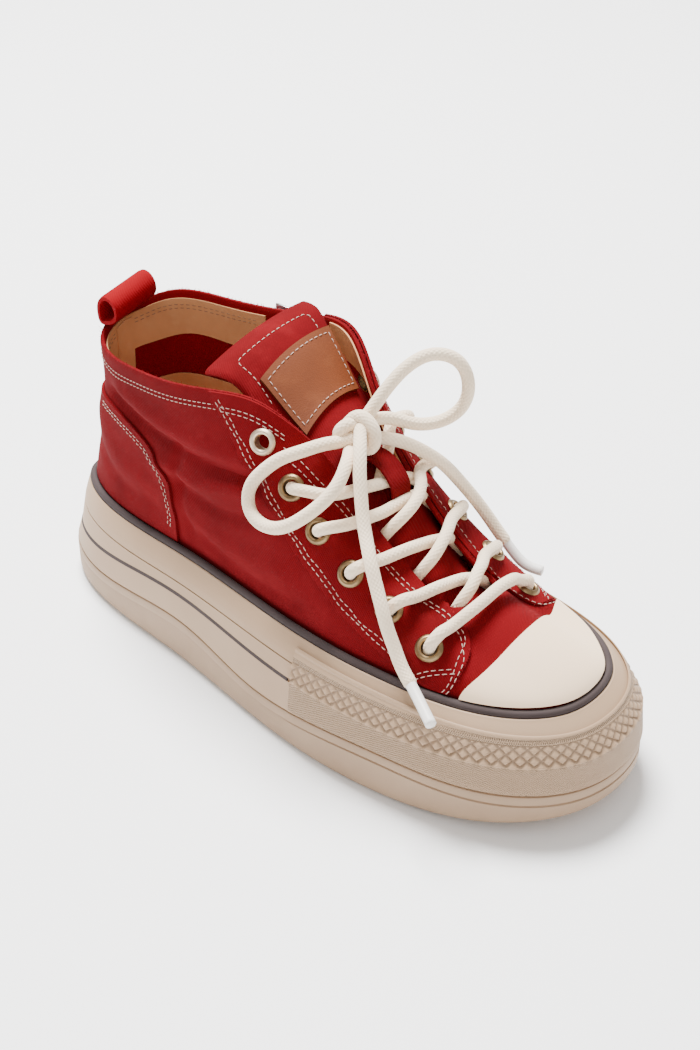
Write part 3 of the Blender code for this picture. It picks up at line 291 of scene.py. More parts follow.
def plan(u, inset):
    """Point of the sole's edge moved inwards. u: 0 heel, 1 toe by the lateral side, 2 heel."""
    u = np.asarray(u, float) % 2
    t = np.where(u < 1, u * TOE_AT, TOE_AT + (u - 1) * (1 - TOE_AT))
    step = 1e-3
    along = unit(PLAN(t + step) - PLAN(t - step))
    inward = np.stack([-along[..., 1], along[..., 0]], axis=-1)
    return PLAN(t) + inward * np.asarray(inset)[..., None], inward


def edge_x(u):
    return plan(u, np.zeros(np.shape(u)))[0][..., 0]


def spring(x):
    """Height of the sole's underside above the floor."""
    return SPRING * np.clip((x - SPRING_START) / (LENGTH - SPRING_START), 0, 1) ** 2


def foot_line(u):
    """Where the upper comes out of the sole, beside the piping."""
    x = edge_x(u)
    flat, _ = plan(u, along_sole(2, x) + PIPING + 2 * GAP)
    return np.concatenate([flat, (along_sole(1, x) - SKIRT_TOP)[..., None]], axis=-1)


def upper_guides():
    """Closed curves over u: the top edge, and the offsets of the wall's two inner curves."""
    rows = [(r[0], r[1], -r[2], *r[3:]) for r in LATERAL]
    rows += [TOE]
    rows += [(2 - r[0], *r[1:]) for r in reversed(MEDIAL)]
    table = np.array(rows)
    return Spline(table[:, 0], table[:, 1:4], 2.0), Spline(table[:, 0], table[:, 4:], 2.0)


TOP, LEAN = upper_guides()


def upper(u, v, out=0.0):
    """The upper's outer face: v is -1 at the foot of the skirt, 0 at the foot line and 1 at
    the top edge. `out` moves it off along its normal."""
    u, v = np.broadcast_arrays(np.asarray(u, float), np.asarray(v, float))
    if np.any(out):
        step = 1e-3
        du = upper(u + step, v) - upper(u - step, v)
        dv = upper(u, np.minimum(v + step, 1)) - upper(u, v - step)
        normal = unit(np.cross(du, dv))
        return upper(u, v) + normal * np.asarray(out)[..., None]
    foot, top, lean = foot_line(u), TOP(u), LEAN(u)
    _, inward = plan(u, np.zeros(u.shape))
    outward = np.concatenate([-inward, np.zeros(u.shape + (1,))], axis=-1)
    up = np.array([0.0, 0.0, 1.0])
    low = foot + outward * lean[..., 0:1] + up * lean[..., 1:2]
    high = top + outward * lean[..., 2:3] - up * lean[..., 3:4]
    w = np.clip(v, 0, 1)[..., None]
    skirt = up * (FOXING_DROP - SKIRT_TOP) * np.minimum(v, 0)[..., None]
    lower = (1 - w) ** 3 * foot + 3 * w * (1 - w) ** 2 * low
    return lower + 3 * w**2 * (1 - w) * high + w**3 * top + skirt


def nearest(u_from, u_to, axes, targets):
    """(u, v) of the points of the upper nearest to each target as seen along one axis."""
    u, v = np.meshgrid(np.linspace(u_from, u_to, 401), np.linspace(0, 1, 201), indexing="ij")
    at = upper(u, v)[..., axes]
    found = []
    for target in targets:
        best = np.unravel_index(np.argmin(np.linalg.norm(at - target, axis=-1)), u.shape)
        found.append((u[best], v[best]))
    return found


SIDE_ENDS = {"lateral": (0.0, 1.0), "medial": (1.0, 2.0)}  # u at both ends of each side


def find_side(side, points):
    """(u, v) of points on one side of the upper, as seen from that side."""
    return nearest(*SIDE_ENDS[side], [0, 2], points)


def tongue(s, q, out=0.0):
    """The tongue's top face. s: 0 at its root, 1 at its top; q: -1 lateral to 1 medial edge."""
    s, q = np.broadcast_arrays(np.asarray(s, float), np.asarray(q, float))
    if np.any(out):
        step = 1e-3
        ds = tongue(np.minimum(s + step, 1), q) - tongue(np.maximum(s - step, 0), q)
        dq = tongue(s, q + step) - tongue(s, q - step)
        normal = unit(np.cross(dq, ds))
        return tongue(s, q) + normal * np.asarray(out)[..., None]
    row = TONGUE_LINE(s)
    z = row[..., 1] - row[..., 3] * q**2 + row[..., 4] * q
    return np.stack([row[..., 0], row[..., 2] * q, z], axis=-1)


def tongue_line():
    rows = np.array(TONGUE)
    run = run_along(rows[:, :2])
    return Spline(run / run[-1], rows)


TONGUE_LINE = tongue_line()


def tongue_at(x):
    """s where the tongue's middle passes x."""
    s = np.linspace(0, 1, 1001)
    return s[np.argmin(np.abs(TONGUE_LINE(s)[:, 0] - x))]


# ---- Shared helpers ------------------------------------------------------------------
def place(points):
    """Points of the tables, in metres in the model's own frame."""
    return (np.asarray(points, float) - (MIDDLE, 0, 0)) * MM


def grid_faces(rows, columns, wrap_rows=False, wrap_columns=False, start=0):
    """Quads over points stored row by row."""
    faces = []
    for i in range(rows if wrap_rows else rows - 1):
        for j in range(columns if wrap_columns else columns - 1):
            a, b = start + i * columns, start + (i + 1) % rows * columns
            k = (j + 1) % columns
            faces.append((a + j, a + k, b + k, b + j))
    return faces


def ring(u, inset, height):
    """Points round the sole at an inset from its edge, at heights given for each.

    The side flares: above the groove it leans in towards the piping, and comes down with it.
    """
    x = edge_x(u)
    levels = (along_sole(3, x), along_sole(4, x) + STRIPE_GROOVE / 2, along_sole(1, x))
    full, middle = (np.interp(x, *np.transpose(FLARE)[[0, k]]) for k in (1, 2))
    low = np.clip((height - levels[0]) / (levels[1] - levels[0]), 0, 1)
    high = np.clip((height - levels[1]) / (levels[2] - levels[1]), 0, 1)
    lean = (low * middle + high * (full - middle)) * np.clip(1 - inset / along_sole(2, x), 0, 1.1)
    flat, _ = plan(u, np.broadcast_to(inset, u.shape) + lean)
    height = np.broadcast_to(height, u.shape) - FLARE_DROP * lean
    return np.concatenate([flat, height[:, None]], axis=1)


def stacked(u, bands):
    """A profile of the sole's rings at each station."""
    return np.stack([ring(u, *each) for each in bands], axis=1)


def station(x, medial=False):
    """u where the sole's edge passes x on one side."""
    u = np.linspace(1, 2, 2001) if medial else np.linspace(0, 1, 2001)
    return u[np.argmin(np.abs(edge_x(u) - x))]


def stations():
    """Stations from heel to toe to heel, closer at both ends, with a pair at the bumper's ends."""
    half = AROUND // 2
    rear_count = half // 2 + 1
    step = 0.004
    sides = []
    for start in (station(BUMPER_START), 2 - station(BUMPER_START, medial=True)):
        rear = start * np.linspace(0, 1, rear_count) ** 1.25
        ahead = 1 - (1 - start - step) * np.linspace(1, 0, half + 1 - rear_count) ** 1.15
        sides.append(np.concatenate([rear, ahead]))
    return np.concatenate([sides[0], 2 - sides[1][-2:0:-1]]), rear_count


U, REAR = stations()
N = len(U)
IN_BUMPER = (np.arange(N) >= REAR) & (np.arange(N) <= N - REAR)
EDGE_X = edge_x(U)
TOP_Z, SHELF, GROOVE, STRIPE = (along_sole(k, EDGE_X) for k in (1, 2, 3, 4))
DECK = TOP_Z - FOXING_DROP - GAP
INSIDE = SHELF + PIPING + 2 * GAP + WALL + 2 * GAP  # inset of the insole


def add_tread_groove(form, x, start, end):
    """One slanting groove in the tread, from near the middle to near the edge."""
    slope = math.atan2(spring(x + 1) - spring(x - 1), 2.0)
    middle = Vector(place((x, (start + end) / 2, spring(x))))
    slant = math.radians(LUG_SLANT if end > 0 else -LUG_SLANT)
    turn = Matrix.Rotation(-slope, 4, "Y") @ Matrix.Rotation(slant, 4, "Z")
    size = Vector((LUG_GROOVE, abs(end - start), 2 * LUG_DEPTH)) * MM
    bmesh.ops.create_cube(
        form, size=1.0, matrix=Matrix.Translation(middle) @ turn @ Matrix.Diagonal((*size, 1))
    )


# ---- Meshes ------------------------------------------------------------------------------
def linked(name, data):
    made = bpy.data.objects.new(name, data)
    bpy.context.scene.collection.objects.link(made)
    return made


def smooth(mesh, sharp):
    mesh.shade_smooth()
    mesh.set_sharp_from_angle(angle=math.radians(sharp))


def piece(name, points, faces, finishes, sharp=35.0, uv=None, picked=None, body=BODY):
    """A dressed piece of the shoe, from points in the tables' frame."""
    points = np.asarray(points, float).reshape(-1, 3)
    mesh = bpy.data.meshes.new(name)
    mesh.from_pydata([tuple(p) for p in place(points)], [], faces)
    for finish in finishes if isinstance(finishes, (list, tuple)) else [finishes]:
        mesh.materials.append(finish)
    if picked is not None:
        mesh.polygons.foreach_set("material_index", np.asarray(picked, np.int32))
    if uv is not None:
        layer = mesh.uv_layers.new(name="UVMap")
        corners = np.zeros(len(mesh.loops), np.int32)
        mesh.loops.foreach_get("vertex_index", corners)
        layer.data.foreach_set("uv", np.asarray(uv, np.float32).reshape(-1, 2)[corners].ravel())
    mesh.validate()
    smooth(mesh, sharp)
    made = linked(name, mesh)
    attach(made, body)
    return made


def facing_out(made):
    form = bmesh.new()
    form.from_mesh(made.data)
    bmesh.ops.remove_doubles(form, verts=form.verts, dist=1e-7)
    bmesh.ops.recalc_face_normals(form, faces=form.faces)
    form.to_mesh(made.data)
    form.free()
    return made


def shell_piece(name, outer, inner, finishes, wrap=False, sharp=35.0, inner_finish=None):
    """Two like grids joined round their rims; inner_finish is the index of the inside's finish."""
    rows, columns = outer.shape[:2]
    half = rows * columns
    faces = grid_faces(rows, columns, wrap)
    count = len(faces)
    faces += [f[::-1] for f in grid_faces(rows, columns, wrap, start=half)]
    last = (rows - 1) * columns
    for i in range(rows if wrap else rows - 1):
        a, b = i * columns, (i + 1) % rows * columns
        faces.append((a, b, half + b, half + a))
        end = columns - 1
        faces.append((a + end, half + a + end, half + b + end, b + end))
    if not wrap:
        for j in range(columns - 1):
            faces.append((j, half + j, half + j + 1, j + 1))
            faces.append((last + j, last + j + 1, half + last + j + 1, half + last + j))
    picked = np.zeros(len(faces), int)
    if inner_finish is not None:
        picked[count : 2 * count] = inner_finish
    points = np.concatenate([outer.reshape(-1, 3), inner.reshape(-1, 3)])
    made = piece(name, points, faces, finishes, sharp, picked=picked)
    return facing_out(made)


def band_piece(name, sections, finish, closed=True, sharp=35.0, uv=None):
    """A closed profile carried along the sole's edge; open ends are capped."""
    rows, columns = sections.shape[:2]
    faces = grid_faces(rows, columns, closed, True)
    if not closed:
        faces += [tuple(range(columns)), tuple((rows - 1) * columns + j for j in range(columns))]
    return facing_out(piece(name, sections, faces, finish, sharp, uv))


def layer_piece(name, rings, finish, sharp=35.0):
    """A layer of the sole: rings from its lower face up to its upper one, and both faces."""
    rows, columns = rings.shape[:2]
    faces = grid_faces(rows, columns, False, True)
    for start in (0, (rows - 1) * columns):
        for k in range(columns // 2):
            far, near = (columns - k) % columns, columns - k - 1
            corners = dict.fromkeys((start + k, start + k + 1, start + near, start + far))
            faces.append(tuple(corners))
    return facing_out(piece(name, rings, faces, finish, sharp))


def helper(name, form):
    """A mesh used only by a Boolean, deleted after it."""
    mesh = bpy.data.meshes.new(name)
    bmesh.ops.recalc_face_normals(form, faces=form.faces)
    form.to_mesh(mesh)
    form.free()
    made = linked(name, mesh)
    return made


def settle(made, helpers):
    """Applies a piece's modifiers and deletes the helpers."""
    bpy.context.view_layer.update()
    graph = bpy.context.evaluated_depsgraph_get()
    mesh = bpy.data.meshes.new_from_object(made.evaluated_get(graph))
    made.modifiers.clear()
    made.data = mesh
    for each in helpers:
        bpy.data.objects.remove(each, do_unlink=True)
    smooth(mesh, 35.0)
    return made


def boolean(made, other, operation):
    modifier = made.modifiers.new(operation.lower(), "BOOLEAN")
    modifier.operation = operation
    modifier.object = other
    modifier.solver = "EXACT"


def prism(name, outline, axis, span):
    form = bmesh.new()
    ends = []
    for depth in span:
        points = np.insert(np.array(outline, float), axis, depth, axis=1)
        ends.append([form.verts.new(p) for p in place(points)])
    form.faces.new(ends[0])
    form.faces.new(ends[1])
    for k in range(len(outline)):
        form.faces.new((ends[0][k - 1], ends[0][k], ends[1][k], ends[1][k - 1]))
    return helper(name, form)


def matrix_at(point, normal, along):
    """Z along the normal, X as near `along` as it can be."""
    z = Vector(normal).normalized()
    x = (Vector(along) - z * Vector(along).dot(z)).normalized()
    turn = Matrix((x, z.cross(x), z)).transposed().to_4x4()
    return Matrix.Translation(Vector(point)) @ turn


# ---- Shader nodes ------------------------------------------------------------------------
class Amount:
    """A number that changes over a surface; arithmetic on it adds Math nodes."""

    def __init__(self, finish, socket):
        self.finish, self.socket = finish, socket

    def work(self, operation, *values):
        node = self.finish.add("Math", {"operation": operation}, dict(enumerate(values)))
        return Amount(self.finish, node.outputs[0])

    def __add__(self, other):
        return self.work("ADD", self, other)

    def __sub__(self, other):
        return self.work("SUBTRACT", self, other)

    def __rsub__(self, other):
        return self.work("SUBTRACT", other, self)

    def __mul__(self, other):
        return self.work("MULTIPLY", self, other)

    __radd__, __rmul__ = __add__, __mul__

    def within(self, low, high):
        """0 below low to 1 above high."""
        node = self.finish.add("MapRange", {"interpolation_type": "SMOOTHSTEP"},
                               {0: self, 1: low, 2: high})
        return Amount(self.finish, node.outputs[0])


class Finish:
    """One finish of the shoe: its material and the nodes behind it."""

    def __init__(self, name, colour, roughness, metallic=0.0, **fixed):
        self.material = bpy.data.materials.new(name)
        self.material.use_nodes = True
        self.tree = self.material.node_tree
        self.shader = self.tree.nodes["Principled BSDF"]
        self.colour, self.roughness = colour, roughness
        self.set(self.shader, {"Base Color": (*colour, 1), "Roughness": roughness,
                               "Metallic": metallic})
        self.set(self.shader, {key.replace("_", " "): value for key, value in fixed.items()})
        self.place = self.add("TexCoord").outputs["Object"]
        self.uv = self.add("TexCoord").outputs["UV"]

    def set(self, node, values):
        for key, value in values.items():
            socket = node.inputs[key]
            if isinstance(value, Amount):
                value = value.socket
            if isinstance(value, bpy.types.NodeSocket):
                self.tree.links.new(value, socket)
            else:
                socket.default_value = value

    def add(self, kind, settings=None, values=None):
        node = self.tree.nodes.new("ShaderNode" + kind)
        for key, value in (settings or {}).items():
            setattr(node, key, value)
        self.set(node, values or {})
        return node

    def noise(self, scale, detail=3.0, rough=0.6):
        node = self.add("TexNoise", {}, {"Vector": self.place, "Scale": scale,
                                         "Detail": detail, "Roughness": rough})
        return Amount(self, node.outputs[0])

    def cells(self, scale):
        node = self.add("TexVoronoi", {}, {"Vector": self.place, "Scale": scale})
        return Amount(self, node.outputs["Distance"])

    def stripes(self, scale, direction, where=None, turn=0.0, distort=0.0):
        """Even ribs across one axis of a coordinate, first turned about Z."""
        mapped = self.add("Mapping", {}, {"Vector": where or self.place,
                                          "Rotation": (0.0, 0.0, math.radians(turn))})
        node = self.add("TexWave", {"wave_type": "BANDS", "bands_direction": direction},
                        {"Vector": mapped.outputs[0], "Scale": scale, "Distortion": distort})
        return Amount(self, node.outputs["Fac"])

    def axis(self, name, where=None):
        node = self.add("SeparateXYZ", {}, {0: where or self.place})
        return Amount(self, node.outputs[name])

    def tint(self, colour, amount, onto=None):
        """Mixes a colour over the base colour by an amount."""
        node = self.add("Mix", {"data_type": "RGBA"}, {0: amount})
        base = onto or (*self.colour, 1)
        self.set(node, {6: base, 7: (*colour, 1)})
        self.set(self.shader, {"Base Color": node.outputs[2]})
        return node.outputs[2]

    def bump(self, height, distance, strength=1.0, below=None):
        values = {"Height": height, "Distance": distance, "Strength": strength}
        if below is not None:
            values["Normal"] = below
        node = self.add("Bump", {}, values)
        self.set(self.shader, {"Normal": node.outputs[0]})
        return node.outputs[0]

    def rough(self, amount, low, high):
        self.set(self.shader, {"Roughness": amount * (high - low) + low})


# The toe band's pattern, by height over the floor.
BAND_LOW, BAND_HIGH = 32.8, 42.0  # the diamonds
DIAMOND, DIAMOND_HEIGHT, DIAMOND_DEPTH = 5.2, 5.2, 1.4
HATCHING = (0.0185, 0.019, 0.0318, 0.0322)  # fades in between the first two, out after
KNURLS = (0.0424, 0.0427, 0.0446, 0.0449)
RIBS = 420.0  # ribs of the hatching and the knurls, across their coordinate


def make_canvas(name, colour, light, dark):
    made = Finish(name, colour, 0.9, Sheen_Weight=0.04, Sheen_Roughness=0.4)
    made.set(made.shader, {"Sheen Tint": (*light, 1), "Specular IOR Level": 0.08})
    cloud = made.noise(24.0, 6.0, 0.65)
    slub = made.noise(900.0, 2.0, 0.7)
    shade = made.tint(dark, cloud.within(0.4, 0.7) * 0.6)
    shade = made.tint(light, made.noise(70.0, 5.0, 0.7).within(0.5, 0.75) * 0.25, shade)
    made.tint(light, slub.within(0.55, 0.85) * 0.3, shade)
    weave = made.stripes(480.0, "DIAGONAL", distort=0.4) * 0.5 + slub * 0.5
    under = made.bump(cloud, 0.0012, 0.35)
    made.bump(weave, 0.00022, 0.8, under)
    made.rough(slub, 0.82, 0.98)
    return made.material


def make_leather(name, colour, light, dark):
    made = Finish(name, colour, 0.6, Specular_IOR_Level=0.25)
    cloud = made.noise(40.0, 4.0)
    grain = made.cells(1500.0)
    shade = made.tint(dark, cloud.within(0.4, 0.8) * 0.6)
    made.tint(light, made.noise(130.0, 3.0).within(0.5, 0.8) * 0.35, shade)
    made.bump(grain * 0.6 + cloud * 0.4, 0.00012, 0.6)
    made.rough(cloud, 0.55, 0.75)
    return made.material


def make_rubber(name, colour, dark, toe=False, low=0.48, high=0.66):
    made = Finish(name, colour, 0.55)
    cloud = made.noise(22.0, 4.0)
    speck = made.noise(1300.0, 2.0)
    height = made.axis("Z")
    soil = (1 - height.within(0.0, 0.022)) * made.noise(60.0, 4.0).within(0.35, 0.7)
    shade = made.tint(dark, cloud.within(0.4, 0.8) * 0.3)
    made.tint(dark, soil * 0.45, shade)
    relief = speck * 0.25
    if toe:
        relief = relief + toe_pattern(made, colour)
    made.bump(relief, 0.0003 if toe else 0.00016, 1.0 if toe else 0.7)
    made.rough(cloud, low, high)
    return made.material


def toe_pattern(made, colour):
    """The toe band's fine hatching and knurls as relief, with painted shade and some dirt in the
    grooves between its diamonds, and painted shade between the hatching's ribs.
    """
    run, height = made.axis("X", made.uv), made.axis("Y", made.uv)
    crossing = [run * (1000 / DIAMOND) + (height - BAND_LOW * MM) * (sign * 1000 / DIAMOND_HEIGHT)
                for sign in (1, -1)]
    near = [each.work("PINGPONG", each, 0.5) for each in crossing]
    groove = 1 - near[0].work("MINIMUM", *near).within(0.0, 0.3)
    diamonds = height.within((BAND_LOW - 0.2) * MM, BAND_LOW * MM)
    diamonds = diamonds * (1 - height.within(BAND_HIGH * MM, (BAND_HIGH + 0.2) * MM))
    # Painted shade, with some dirt, darkens the grooves between the diamonds: this colour and the
    # mask below.
    dark = tuple(each * 0.42 for each in colour)
    groove_shade_and_dirt = made.tint(dark, groove * diamonds * 0.55)
    wall = height.within(*HATCHING[:2]) * (1 - height.within(*HATCHING[2:]))
    hatching = made.stripes(RIBS, "X", made.uv, 52.0) * wall
    knurls = made.stripes(RIBS, "X", made.uv, 30.0) * made.stripes(RIBS, "X", made.uv, -30.0)
    knurls = knurls * height.within(*KNURLS[:2]) * (1 - height.within(*KNURLS[2:]))
    # Painted shade between the hatching's ribs, and darker knurls, laid over the groove shade and
    # dirt.
    made.tint(dark, (1 - hatching) * wall * 0.14 + knurls * 0.45, groove_shade_and_dirt)
    return hatching * 1.2 + knurls * 2.0


def make_metal(name, colour, dark, roughness):
    made = Finish(name, colour, roughness, 1.0)
    cloud = made.noise(300.0, 4.0)
    made.tint(dark, cloud.within(0.4, 0.7) * 0.7)
    made.bump(made.noise(900.0, 2.0), 0.00005, 0.4)
    made.rough(cloud, roughness, roughness + 0.18)
    return made.material


BRAID = 260.0  # strands of the lace's cover, along and across it


def make_lace_finish(name, colour, dark):
    made = Finish(name, colour, 0.85, Sheen_Weight=0.2)
    strands = [made.stripes(BRAID, "X", made.uv, turn) * 0.5 for turn in (50.0, -50.0)]
    braid = strands[0] + strands[1]
    fibre = made.noise(1800.0, 2.0)
    shade = made.tint(dark, (1 - braid) * 0.35)
    made.tint(dark, made.noise(45.0, 3.0).within(0.45, 0.8) * 0.3, shade)
    made.bump(braid + fibre * 0.4, 0.00022, 0.8)
    made.rough(fibre, 0.78, 0.95)
    return made.material


def make_plain(name, colour, dark, roughness):
    made = Finish(name, colour, roughness, Specular_IOR_Level=0.3)
    cloud = made.noise(60.0, 3.0)
    made.tint(dark, cloud.within(0.4, 0.8) * 0.5)
    made.bump(made.noise(1200.0, 2.0), 0.0001, 0.5)
    made.rough(cloud, roughness - 0.08, roughness + 0.08)
    return made.material


CANVAS = make_canvas("canvas_red", (0.135, 0.0022, 0.0045), (0.22, 0.011, 0.014),
                     (0.075, 0.0008, 0.0018))
PULL_CANVAS = make_canvas("canvas_red_pull", (0.21, 0.0015, 0.005), (0.34, 0.015, 0.02),
                          (0.14, 0.001, 0.003))
INNER = make_canvas("fabric_dark_red", (0.19, 0.003, 0.006), (0.26, 0.008, 0.012),
                    (0.12, 0.002, 0.003))
LEATHER = make_leather("leather_tan", (0.14, 0.034, 0.008), (0.19, 0.055, 0.016),
                       (0.09, 0.021, 0.005))
LINING = make_leather("leather_lining", (0.56, 0.27, 0.12), (0.66, 0.36, 0.18), (0.42, 0.19, 0.08))
RUBBER = make_rubber("rubber_cream", (0.4, 0.262, 0.158), (0.31, 0.195, 0.112))
WALL_RUBBER = make_rubber("rubber_wall", (0.4, 0.262, 0.158), (0.31, 0.195, 0.112), toe=True)
TREAD = make_rubber("rubber_outsole", (0.355, 0.235, 0.145), (0.265, 0.165, 0.097))
CAP = make_rubber("rubber_cap", (0.96, 0.72, 0.49), (0.88, 0.63, 0.41), low=0.5, high=0.62)
DARK = make_plain("rubber_dark", (0.046, 0.032, 0.031), (0.032, 0.022, 0.022), 0.8)
BRASS = make_metal("brass", (0.27, 0.185, 0.095), (0.12, 0.08, 0.045), 0.3)
BRASS_PALE = make_metal("brass_pale", (0.66, 0.54, 0.4), (0.45, 0.35, 0.24), 0.38)
STEEL = make_metal("steel", (0.62, 0.62, 0.62), (0.45, 0.45, 0.45), 0.22)
COIL = make_plain("zip_dark", (0.045, 0.025, 0.028), (0.03, 0.018, 0.02), 0.5)
LACE_WHITE = make_lace_finish("lace", (0.9, 0.735, 0.54), (0.62, 0.46, 0.31))
AGLET = make_plain("aglet_white", (0.85, 0.82, 0.78), (0.7, 0.66, 0.6), 0.35)
THREAD = make_plain("thread", (0.52, 0.36, 0.3), (0.36, 0.22, 0.18), 0.8)
THREAD_TAN = make_plain("thread_tan", (0.3, 0.17, 0.09), (0.22, 0.11, 0.06), 0.8)
FRAY = make_plain("frayed_thread", (0.27, 0.006, 0.012), (0.18, 0.003, 0.006), 0.9)


# ---- Camera, light and floor -------------------------------------------------------------
CAMERA_AT, CAMERA_AIM = (538.3, -413.0, 438.5), (143.0, 8.0, 62.0)
CAMERA_ROLL, CAMERA_LENS = -0.49, 60.0
WORLD_LIGHT = 0.92
LIGHTS = [  # name, place, size, power
    ("key", (-0.7, 0.35, 1.9), 0.9, 165.0),
    ("fill", (1.4, -1.2, 1.4), 1.6, 8.0),
]


def make_studio():
    camera = linked("camera", bpy.data.cameras.new("camera"))
    bpy.context.scene.camera = camera
    eye = Vector(place(CAMERA_AT))
    back = (eye - Vector(place(CAMERA_AIM))).normalized()
    camera.location = eye
    camera.rotation_mode = "QUATERNION"
    turn = back.to_track_quat("Z", "Y")
    roll = Matrix.Rotation(math.radians(CAMERA_ROLL), 3, back)
    camera.rotation_quaternion = (roll @ turn.to_matrix()).to_quaternion()
    camera.data.sensor_fit = "AUTO"
    camera.data.sensor_width = 36.0
    camera.data.lens = CAMERA_LENS
    camera.data.clip_start, camera.data.clip_end = 0.01, 20.0

    form = bmesh.new()
    bmesh.ops.create_grid(form, x_segments=8, y_segments=8, size=6.0)
    mesh = bpy.data.meshes.new("floor")
    form.to_mesh(mesh)
    form.free()
    floor = bpy.data.objects.new("floor", mesh)
    finish = Finish("studio_white", (0.97, 0.968, 0.965), 0.6)
    finish.tint((0.95, 0.948, 0.945), finish.noise(1.5, 2.0) * 0.3)
    mesh.materials.append(finish.material)
    bpy.context.scene.collection.objects.link(floor)

    world = bpy.data.worlds.new("studio")
    bpy.context.scene.world = world
    world.use_nodes = True
    sky = world.node_tree.nodes["Background"]
    sky.inputs[0].default_value = (1.0, 0.985, 0.97, 1)
    sky.inputs[1].default_value = WORLD_LIGHT
    for name, at, size, power in LIGHTS:
        lamp = bpy.data.lights.new(name, "AREA")
        lamp.shape, lamp.size, lamp.energy = "DISK", size, power
        made = bpy.data.objects.new(name, lamp)
        made.location = at
        made.rotation_mode = "QUATERNION"
        made.rotation_quaternion = Vector(at).to_track_quat("Z", "Y")
        bpy.context.scene.collection.objects.link(made)


make_studio()


# ---- Laces -------------------------------------------------------------------------------
TIGHT_LACE = 4.6  # a lace pulled tight is a little thinner
LACE_TUCK = (1.0, 0.5)  # the hidden start: further back by this, at this height over the tongue
AGLET_LENGTH, AGLET_WIDTH = 19.0, 4.2


def tube(name, path, radius, finish, sides=14, ends=0.5):
    """A round lace along a smooth path, with softly closed ends and a UV along and round it."""
    path = np.asarray(path, float)
    along = unit(np.gradient(path, axis=0))
    side = np.cross(along[0], (0.3, 0.2, 1.0))
    rings, uv = [], []
    run = run_along(path)
    radii = np.broadcast_to(radius, len(path)).astype(float).copy()
    turn = np.linspace(0, 2 * math.pi, sides + 1)
    for k, (point, t) in enumerate(zip(path, along)):
        side = side - t * (side @ t)
        side /= np.linalg.norm(side)
        other = np.cross(t, side)
        circle = np.cos(turn)[:, None] * side + np.sin(turn)[:, None] * other
        rings.append(point + radii[k] * circle)
        uv.append(np.stack([np.full(sides + 1, run[k]), turn * radii[k]], axis=1) * MM)
    rings, uv = np.array(rings), np.array(uv)
    for end, t in ((0, -along[0]), (-1, along[-1])):
        for k in (1, 2):
            share = 0.8 if k == 1 else 0.05
            lid = path[end] + (rings[end] - path[end]) * share + t * ends * k * 0.5
            first = end == 0
            if first and k == 1:
                front = [lid]
            elif first:
                rings = np.concatenate([lid[None], np.array(front), rings])
                uv = np.concatenate([uv[:1], uv[:1], uv])
            else:
                rings = np.concatenate([rings, lid[None]])
                uv = np.concatenate([uv, uv[-1:]])
    rows, columns = rings.shape[:2]
    faces = grid_faces(rows, columns)
    lid = range(columns - 1)
    faces += [tuple(lid), tuple((rows - 1) * columns + j for j in lid)[::-1]]
    return piece(name, rings, faces, finish, 60.0, uv)


def smooth_path(points, step=1.0):
    line = through(points)
    rough = line(np.linspace(0, 1, 400))
    length = np.linalg.norm(np.diff(rough, axis=0), axis=1).sum()
    return even(line, max(int(length / step), 8))


def edge_at(side, x):
    """u where the upper's top edge passes x on one side of the throat."""
    u = np.linspace(0.3, 0.99, 701) if side == "lateral" else np.linspace(1.7, 1.01, 701)
    return u[np.argmin(np.abs(TOP(u)[:, 0] - x))]


def eyelet_axis(side, row):
    """An eyelet's centre on the upper's face, and the direction out of it."""
    x, z_lateral, z_medial = EYELETS[row]
    u, v = find_side(side, [(x, z_lateral if side == "lateral" else z_medial)])[0]
    point, above = upper(np.array([u, u]), np.array([v, v]), np.array([0.0, 1.0]))
    return point, above - point


THROUGH = [  # a lace into an eyelet: reach from its axis, height over the upper
    (6.5, 5.6), (2.0, 4.6), (0.3, 1.5), (-0.3, -3.0), (1.5, -5.5),
]


def into_eyelet(side, row, over):
    """Points of a lace that comes over the throat's edge and goes down through an eyelet."""
    centre, out = eyelet_axis(side, row)
    toward = over - centre
    toward -= out * (toward @ out)
    toward /= np.linalg.norm(toward)
    return [over, *(centre + toward * reach + out * height for reach, height in THROUGH)]


def strand(name, start_side, end_side, row, points):
    """A lace from under one facing, along points over the tongue, into the other side's eyelet."""
    sign = 1 if start_side == "medial" else -1
    first = np.array(points[0], float)
    start = tongue(tongue_at(first[0] - LACE_TUCK[0]), sign * 0.97, LACE_TUCK[1])
    route = [] if row == 1 and start_side == "lateral" else [start]
    route += [np.array(each, float) for each in points[:-1]]
    route += into_eyelet(end_side, row, np.array(points[-1], float))
    return tube(name, smooth_path(route), TIGHT_LACE / 2, LACE_WHITE)


